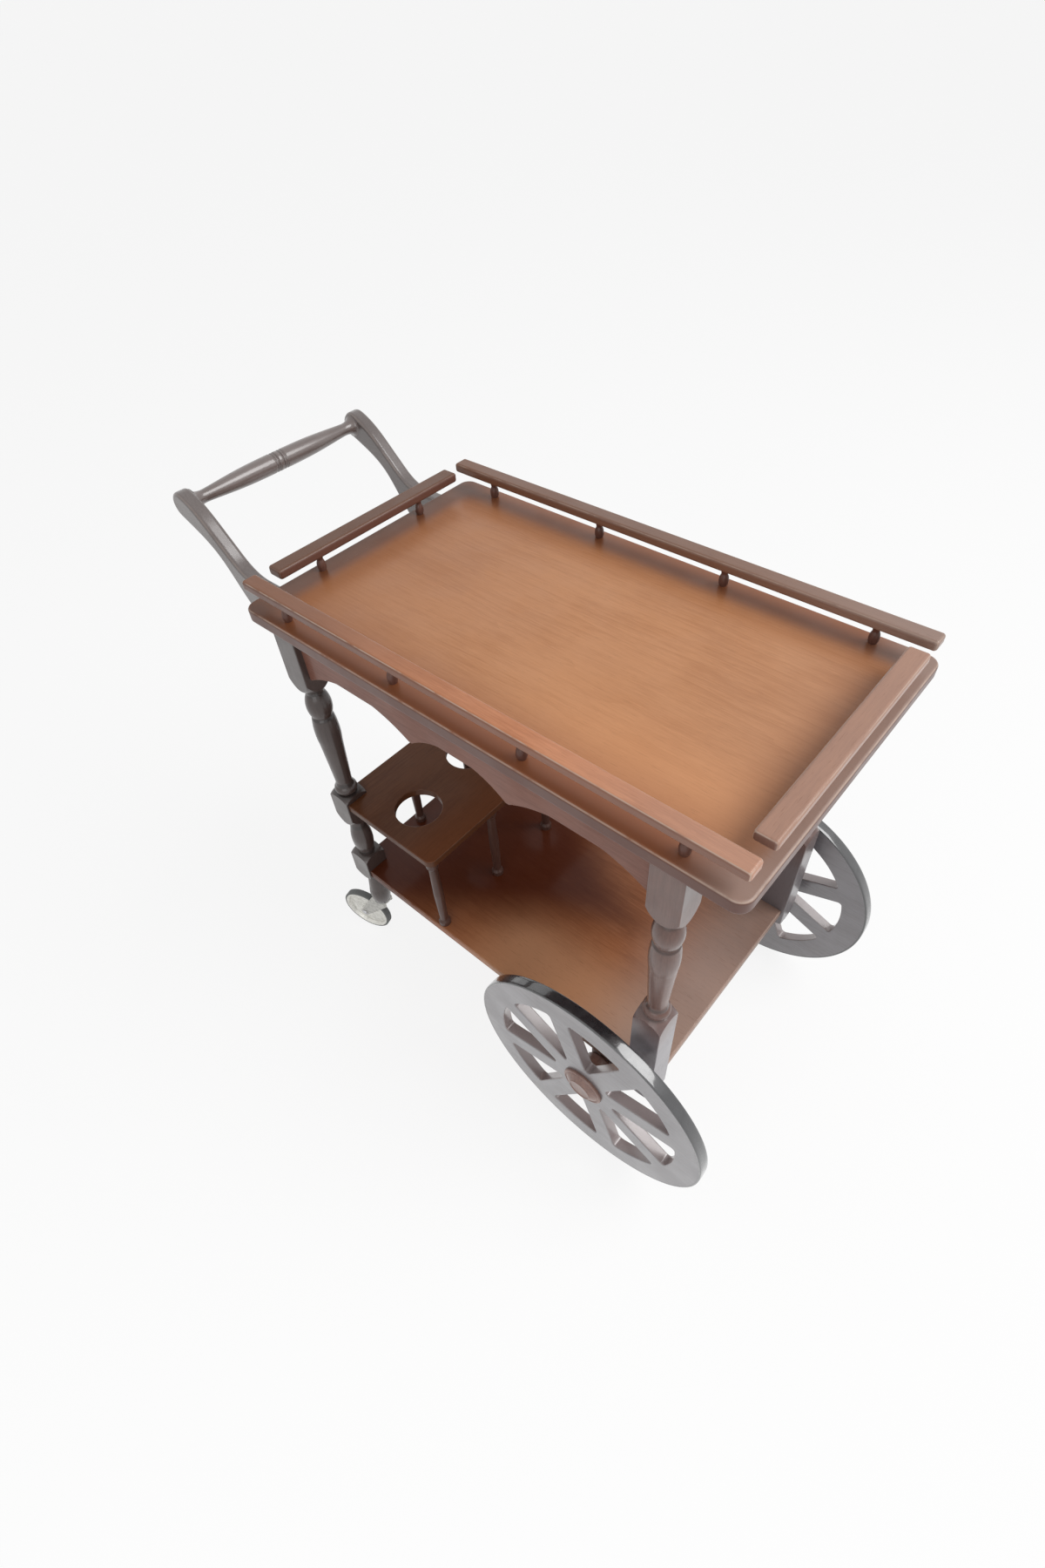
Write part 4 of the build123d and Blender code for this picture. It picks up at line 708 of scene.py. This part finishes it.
class CART_OT_gallery(bpy.types.Operator):
    """Lacquers the rails and their spindles"""

    bl_idname = "cart.gallery"
    bl_label = "Gallery"

    def execute(self, context):
        woods = context.scene.cart_woods

        def rail_light_and_shade(rail):
            """Painted light towards the wheels, painted shade towards the push handle and painted shade on
            one side.
            """
            def stain_and_light(tree, place, shade):
                x = split(tree, place.outputs["Object"])[0]
                facing = node(
                    tree, "ShaderNodeVectorMath", {0: place.outputs["Normal"], 1: rail["side"]},
                    operation="DOT_PRODUCT").outputs["Value"]
                # Painted shade towards the push handle
                handle_shade = spread(tree, x, rail["start"], HANDLE_SHADE_END, 0.0, rail["handle_shade"])
                return layered(
                    tree, shade,
                    # Painted light towards the wheels
                    (spread(tree, x, 0.15, 0.50, 0.0, 0.4), opaque(woods.faded_and_lit)),
                    (handle_shade, opaque(woods.rail_dark, 0.6)),
                    # Painted shade on the rail's shaded side, in the board's edge colour
                    (spread(tree, facing, 0.6, 0.9, 0.0, rail["dark"]), opaque(woods.edge)))
            return stain_and_light

        for name, rail in RAILS.items():
            fade = rail["fade"]
            # Each rail's tones are scaled by its depth: painted light on the near rail, painted shade on the
            # far and handle-end rails
            tones = [toned(blended(tone, 1 - fade, woods.faded_and_lit, 0.6 * fade), rail["depth"])
                     for tone in (woods.rail_dark, woods.rail_light)]
            paint(lacquered(
                f"{name}_lacquer", rail["grain"], *tones, woods.worn, edges="box", wear=rail["wear"],
                coat=rail["coat"], under=0.25, stain_and_light=rail_light_and_shade(rail)), NODES[name])
        paint(lacquered(
            "spindle_lacquer", "Z", woods.frame_dark, woods.frame_light, woods.worn, rings=0.1, coat=0.3,
            under=0.2), *nodes_named("spindles"))
        return {"FINISHED"}


class CART_OT_frame(bpy.types.Operator):
    """Lacquers the legs, aprons and corner blocks"""

    bl_idname = "cart.frame"
    bl_label = "Legs and Aprons"

    def execute(self, context):
        woods = context.scene.cart_woods

        def grey_lit_and_shaded(tree, place, shade):
            """Grey on the lowest block, as on the wheels, with painted light making it paler on the right leg
            and painted shade darker on the left.
            """
            _, y, z = split(tree, place.outputs["Object"])
            right, left = opaque(woods.wheel_light, 1.6), opaque(woods.wheel_dark, 1.3)
            # Painted light on the right leg's block and painted shade on the left leg's
            grey = mixed(tree, spread(tree, y, -0.05, 0.05), right, left)
            return mixed(tree, spread(tree, z, 0.48, 0.36), shade, grey)

        brown = woods.frame_dark, woods.frame_light
        grey = [blended(arm, 0.33, leg, 0.17) for arm, leg in zip((woods.arm_dark, woods.arm_light), brown)]
        for end, tones, grooves, stain_and_light in (
                ("wheel", brown, UPPER_GROOVES, grey_lit_and_shaded),
                ("handle", grey, UPPER_GROOVES + LOWER_GROOVES, None)):
            paint(lacquered(
                f"leg_lacquer_{end}", "Z", *tones, woods.worn, rings=0.1, gloss=0.2, coat=0.7, under=0.4,
                grooves=grooves, stain_and_light=stain_and_light), *nodes_named(f"leg_{end}"))
        for run, grain, edges, ends in (
                ("long", "X", "Y", ("apron_left", "apron_right")),
                ("short", "Y", "X", ("apron_handle", "apron_wheel"))):
            paint(lacquered(
                f"apron_lacquer_{run}", grain, woods.apron_dark, woods.apron_light, woods.worn, rings=0.1,
                edges=edges, wear=0.3, coat=0.25, under=0.15), *nodes_named(*ends))
        paint(lacquered(
            "block_wood", "Y", woods.shelf_dark, woods.shelf_light, woods.worn, coat=0.1, gloss=0.5),
            NODES["corner_blocks"])
        return {"FINISHED"}


class CART_OT_shelves(bpy.types.Operator):
    """Lacquers the shelves, their posts and the beam under them"""

    bl_idname = "cart.shelves"
    bl_label = "Shelves"

    def execute(self, context):
        woods = context.scene.cart_woods
        tones = woods.shelf_dark, woods.shelf_light

        def shelf_light_and_shade(tree, place, shade):
            """Painted light along the right side and at the wheel end, partly a painted reflection there, and
            painted shade twice as deep where 1.6 |y| + 1.15 x is small, in the middle under the top and under
            the bottle shelf."""
            x, y, _ = split(tree, place.outputs["Object"])
            side = math_node(tree, "ABSOLUTE", y)
            reached = math_node(tree, "MULTIPLY_ADD", side, 1.6, times(tree, x, 1.15))
            # Painted light on the near side towards the wheels
            painted_light = times(tree, spread(tree, x, -0.02, 0.12), spread(tree, y, -0.05, -0.16, 0.0, 0.8))
            right, left = opaque(woods.faded_and_lit, 0.9), opaque(woods.faded_and_lit, 0.55)
            # Painted light and reflection at the wheel end, paler on the near side than on the far side
            pale = mixed(tree, spread(tree, y, -0.05, 0.12), right, left)
            return layered(
                tree, shade,
                (painted_light, opaque(blended(woods.veneer_light, 0.85, woods.faded_and_lit, 0.18))),
                # Painted shade in the middle under the top and under the bottle shelf
                (spread(tree, reached, 0.36, 0.12, 0.0, 0.9), opaque([c * c for c in woods.shelf_dark])),
                (spread(tree, x, 0.22, 0.38, 0.0, 0.75), pale))

        def paler_with_shaded_edge(tree, place, shade):
            """Paler towards the shelf's free edge, with painted shade on the edge itself."""
            x = split(tree, place.outputs["Object"])[0]
            up = split(tree, place.outputs["Normal"])[2]
            return layered(
                tree, shade,
                (spread(tree, x, -0.13, -0.03, 0.0, 0.6), opaque(woods.shelf_dark)),
                # Painted shade on the edge, where the faces turn away from up
                (spread(tree, up, 0.9, 0.5, 0.0, 0.8), opaque(woods.shelf_dark, 0.3)))

        paint(lacquered(
            "low_shelf_lacquer", "X", *tones, woods.worn, ring=0.016, rings=0.15, figure=13.0,
            shift=(0, 0.06, -0.18), tilt=(0, 0.4, 0), edges="Z", wear=0.3, gloss=0.14, coat=0.2, under=0.15,
            stain_and_light=shelf_light_and_shade), NODES["lower_shelf"])
        deep = [toned(tone, 0.45) for tone in tones]
        paint(lacquered(
            "bottle_shelf_lacquer", "Y", *deep, woods.worn, rings=0.1, shift=(0.1, 0, -0.40), edges="Z",
            wear=0.1, gloss=0.18, coat=0.2, under=0.12, stain_and_light=paler_with_shaded_edge), NODES["bottle_shelf"])
        paint(lacquered("beam_lacquer", "Y", *tones, woods.worn, gloss=0.3), NODES["axle_beam"])
        dim = toned(woods.frame_dark, 0.6), toned(woods.frame_light, 0.6)
        paint(lacquered("post_lacquer", "Z", *dim, woods.worn, rings=0.1, coat=0.35, under=0.2),
              NODES["bottle_shelf_posts"])
        paint(lacquered("dowel_wood", "X", woods.boss_dark, woods.boss_light, woods.worn, coat=0.0),
              NODES["shelf_dowels"])
        return {"FINISHED"}


class CART_OT_handle(bpy.types.Operator):
    """Lacquers the push handle's arms and makes its turned grip"""

    bl_idname = "cart.handle"
    bl_label = "Push Handle"

    def execute(self, context):
        woods = context.scene.cart_woods
        finish = dict(rings=0.1, gloss=0.24, shine=1.75, under=0.2)
        tones = woods.arm_dark, woods.arm_light
        paint(lacquered(
            "arm_lacquer", "X", *tones, woods.worn, tilt=(0, 0.5, 0), edges="Y", wear=0.15, **finish),
            *nodes_named("handle_arm"))
        # The grip's tones are a lighter copy of the arms': painted light
        lightened = [toned(tone, 1.33) for tone in tones]
        make_grip(context.scene.cart_sizes, lacquered("grip_lacquer", "Y", *lightened, woods.worn, **finish))
        return {"FINISHED"}


class CART_OT_wheels(bpy.types.Operator):
    """Lacquers the large wheels and makes their bosses and treads"""

    bl_idname = "cart.wheels"
    bl_label = "Large Wheels"

    def execute(self, context):
        woods, metals, sizes = context.scene.cart_woods, context.scene.cart_metals, context.scene.cart_sizes

        def walls(tree, place, shade):
            """Paler wood on the cut walls of the spokes, whose normals lie along the wheel's face."""
            out = math_node(tree, "ABSOLUTE", split(tree, place.outputs["Normal"])[1])
            return mixed(tree, spread(tree, out, 0.6, 0.25), shade, opaque(woods.wall))

        paint(lacquered(
            "wheel_lacquer", "X", woods.wheel_dark, woods.wheel_light, woods.worn, rings=0.05, edges="Y",
            wear=0.25, gloss=0.24, shine=1.7, stain_and_light=walls), *nodes_named("wheel_disc"))
        boss = lacquered(
            "boss_lacquer", "Y", woods.boss_dark, woods.boss_light, woods.worn, rings=0.15, coat=0.6)
        paint(boss, *nodes_named("wheel_hub"))
        tread = rubber("tread_rubber", metals.tread, 0.22, 1.0)
        for name, sign in SIDES:
            make_boss(name, sign, sizes, boss)
            make_tread(name, sizes, tread)
        return {"FINISHED"}


class CART_OT_casters(bpy.types.Operator):
    """Plates the casters and makes their pressed wheels"""

    bl_idname = "cart.casters"
    bl_label = "Casters"

    def execute(self, context):
        metals, sizes = context.scene.cart_metals, context.scene.cart_sizes
        zinc = metal("caster_zinc", metals.zinc, 0.3, 0.3)
        for name, _ in SIDES:
            make_caster_wheel(name, sizes, zinc)
        paint(metal("fork_plate", metals.fork, 0.34, 0.4), *nodes_named("caster_fork"))
        paint(rubber("caster_rubber", metals.tyre, 0.5, 0.0), *nodes_named("caster_tyre"))
        return {"FINISHED"}


class CART_OT_hardware(bpy.types.Operator):
    """Finishes the axle, nuts, washers, pins, sleeves and screws"""

    bl_idname = "cart.hardware"
    bl_label = "Hardware"

    def execute(self, context):
        steel = metal("bright_steel", context.scene.cart_metals.steel, 0.25, 0.35)
        paint(steel, *nodes_named(
            "wheel_axle", "axle_washers", "axle_nuts", "wheel_bush", "caster_pin", "caster_sleeve",
            "board_screws", "arm_screws", "beam_screws"))
        return {"FINISHED"}


class CART_OT_studio(bpy.types.Operator):
    """Sets up the camera, floor and soft light"""

    bl_idname = "cart.studio"
    bl_label = "Studio"

    def execute(self, context):
        scene, studio = context.scene, context.scene.cart_studio
        self.floor(scene, studio)
        self.light(scene, studio)
        self.camera(scene, studio)
        scene.view_settings.view_transform = "Standard"
        return {"FINISHED"}

    def floor(self, scene, studio):
        """Flat pale square under the cart, nearly white to the camera and in reflections."""
        corners = np.array([(-1, -1, 0), (1, -1, 0), (1, 1, 0), (-1, 1, 0)]) * studio.floor_size
        mesh = bpy.data.meshes.new("floor")
        mesh.from_pydata(corners.tolist(), [], [(0, 1, 2, 3)])
        piece = bpy.data.objects.new("floor", mesh)
        scene.collection.objects.link(piece)
        material, tree, shader, _ = blank("floor_paint")
        shader.inputs["Base Color"].default_value = opaque(studio.floor)
        shader.inputs["Roughness"].default_value = 0.9
        shader.inputs["Specular IOR Level"].default_value = 0.1
        white = node(tree, "ShaderNodeEmission", {"Color": (1, 1, 1, 1), "Strength": 1.0}).outputs[0]
        share = times(tree, seen_white(tree), studio.floor_white)
        veiled = node(tree, "ShaderNodeMixShader", {0: share, 1: shader.outputs[0], 2: white}).outputs[0]
        output = next(n for n in tree.nodes if n.type == "OUTPUT_MATERIAL")
        tree.links.new(veiled, output.inputs["Surface"])
        paint(material, piece)

    def light(self, scene, studio):
        """Even sky that is white to the camera and in reflections, and two large soft lights."""
        world = bpy.data.worlds.new("studio_sky")
        world.use_nodes = True
        tree = world.node_tree
        strength = spread(tree, seen_white(tree), 0.0, 1.0, studio.sky, 1.0)
        back = next(n for n in tree.nodes if n.type == "BACKGROUND")
        back.inputs["Color"].default_value = (1, 1, 1, 1)
        tree.links.new(strength, back.inputs["Strength"])
        scene.world = world
        for name, watts, size, place in (
                ("main_light", studio.lamp, studio.lamp_size, studio.lamp_place),
                ("fill_light", studio.fill, studio.fill_size, studio.fill_place)):
            lamp = bpy.data.lights.new(name, "AREA")
            lamp.shape = "SQUARE"
            lamp.energy = watts
            lamp.size = size
            piece = bpy.data.objects.new(name, lamp)
            piece.location = place
            sight = Vector(studio.aim) - Vector(place)
            piece.rotation_euler = sight.to_track_quat("-Z", "Y").to_euler()
            piece.visible_camera = False
            scene.collection.objects.link(piece)

    def camera(self, scene, studio):
        """Camera axes from its azimuth, elevation and roll."""
        back = np.array([
            math.sin(studio.azimuth) * math.cos(studio.elevation),
            -math.cos(studio.azimuth) * math.cos(studio.elevation), math.sin(studio.elevation)])
        right = np.cross(-back, (0, 0, 1))
        right /= np.linalg.norm(right)
        down = np.cross(-back, right)
        c, s = math.cos(studio.roll), math.sin(studio.roll)
        across, fall = c * right + s * down, c * down - s * right
        data = bpy.data.cameras.new("camera")
        data.lens = studio.lens
        data.sensor_width = SENSOR
        data.clip_start, data.clip_end = CLIP
        piece = bpy.data.objects.new("camera", data)
        place = Matrix(np.stack([across, -fall, back], 1).tolist()).to_4x4()
        place.translation = studio.eye
        piece.matrix_world = place
        scene.collection.objects.link(piece)
        scene.camera = piece


OPERATORS = (
    CART_OT_top, CART_OT_gallery, CART_OT_frame, CART_OT_shelves, CART_OT_handle, CART_OT_wheels,
    CART_OT_casters, CART_OT_hardware, CART_OT_studio,
)
GROUPS = {
    "cart_woods": CartWoods, "cart_metals": CartMetals, "cart_sizes": CartSizes, "cart_studio": CartStudio,
}


class CART_PT_panel(bpy.types.Panel):
    """Colours, sizes and steps of the cart's finish"""

    bl_label = "Serving Cart"
    bl_idname = "CART_PT_panel"
    bl_space_type = "VIEW_3D"
    bl_region_type = "UI"
    bl_category = "Cart"

    def draw(self, context):
        for operator in OPERATORS:
            self.layout.operator(operator.bl_idname)
        for key, group in GROUPS.items():
            box = self.layout.box()
            for name in group.__annotations__:
                box.prop(getattr(context.scene, key), name)


def register():
    """Registers the classes and puts their settings on the scene."""
    for cls in (*GROUPS.values(), *OPERATORS, CART_PT_panel):
        bpy.utils.register_class(cls)
    for key, group in GROUPS.items():
        setattr(bpy.types.Scene, key, PointerProperty(type=group))


def unregister():
    """Takes back what register does."""
    for key in GROUPS:
        delattr(bpy.types.Scene, key)
    for cls in reversed((*GROUPS.values(), *OPERATORS, CART_PT_panel)):
        bpy.utils.unregister_class(cls)


def main():
    """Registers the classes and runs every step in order."""
    register()
    for operator in OPERATORS:
        area, step = operator.bl_idname.split(".")
        getattr(getattr(bpy.ops, area), step)()


if __name__ == "__main__":
    main()
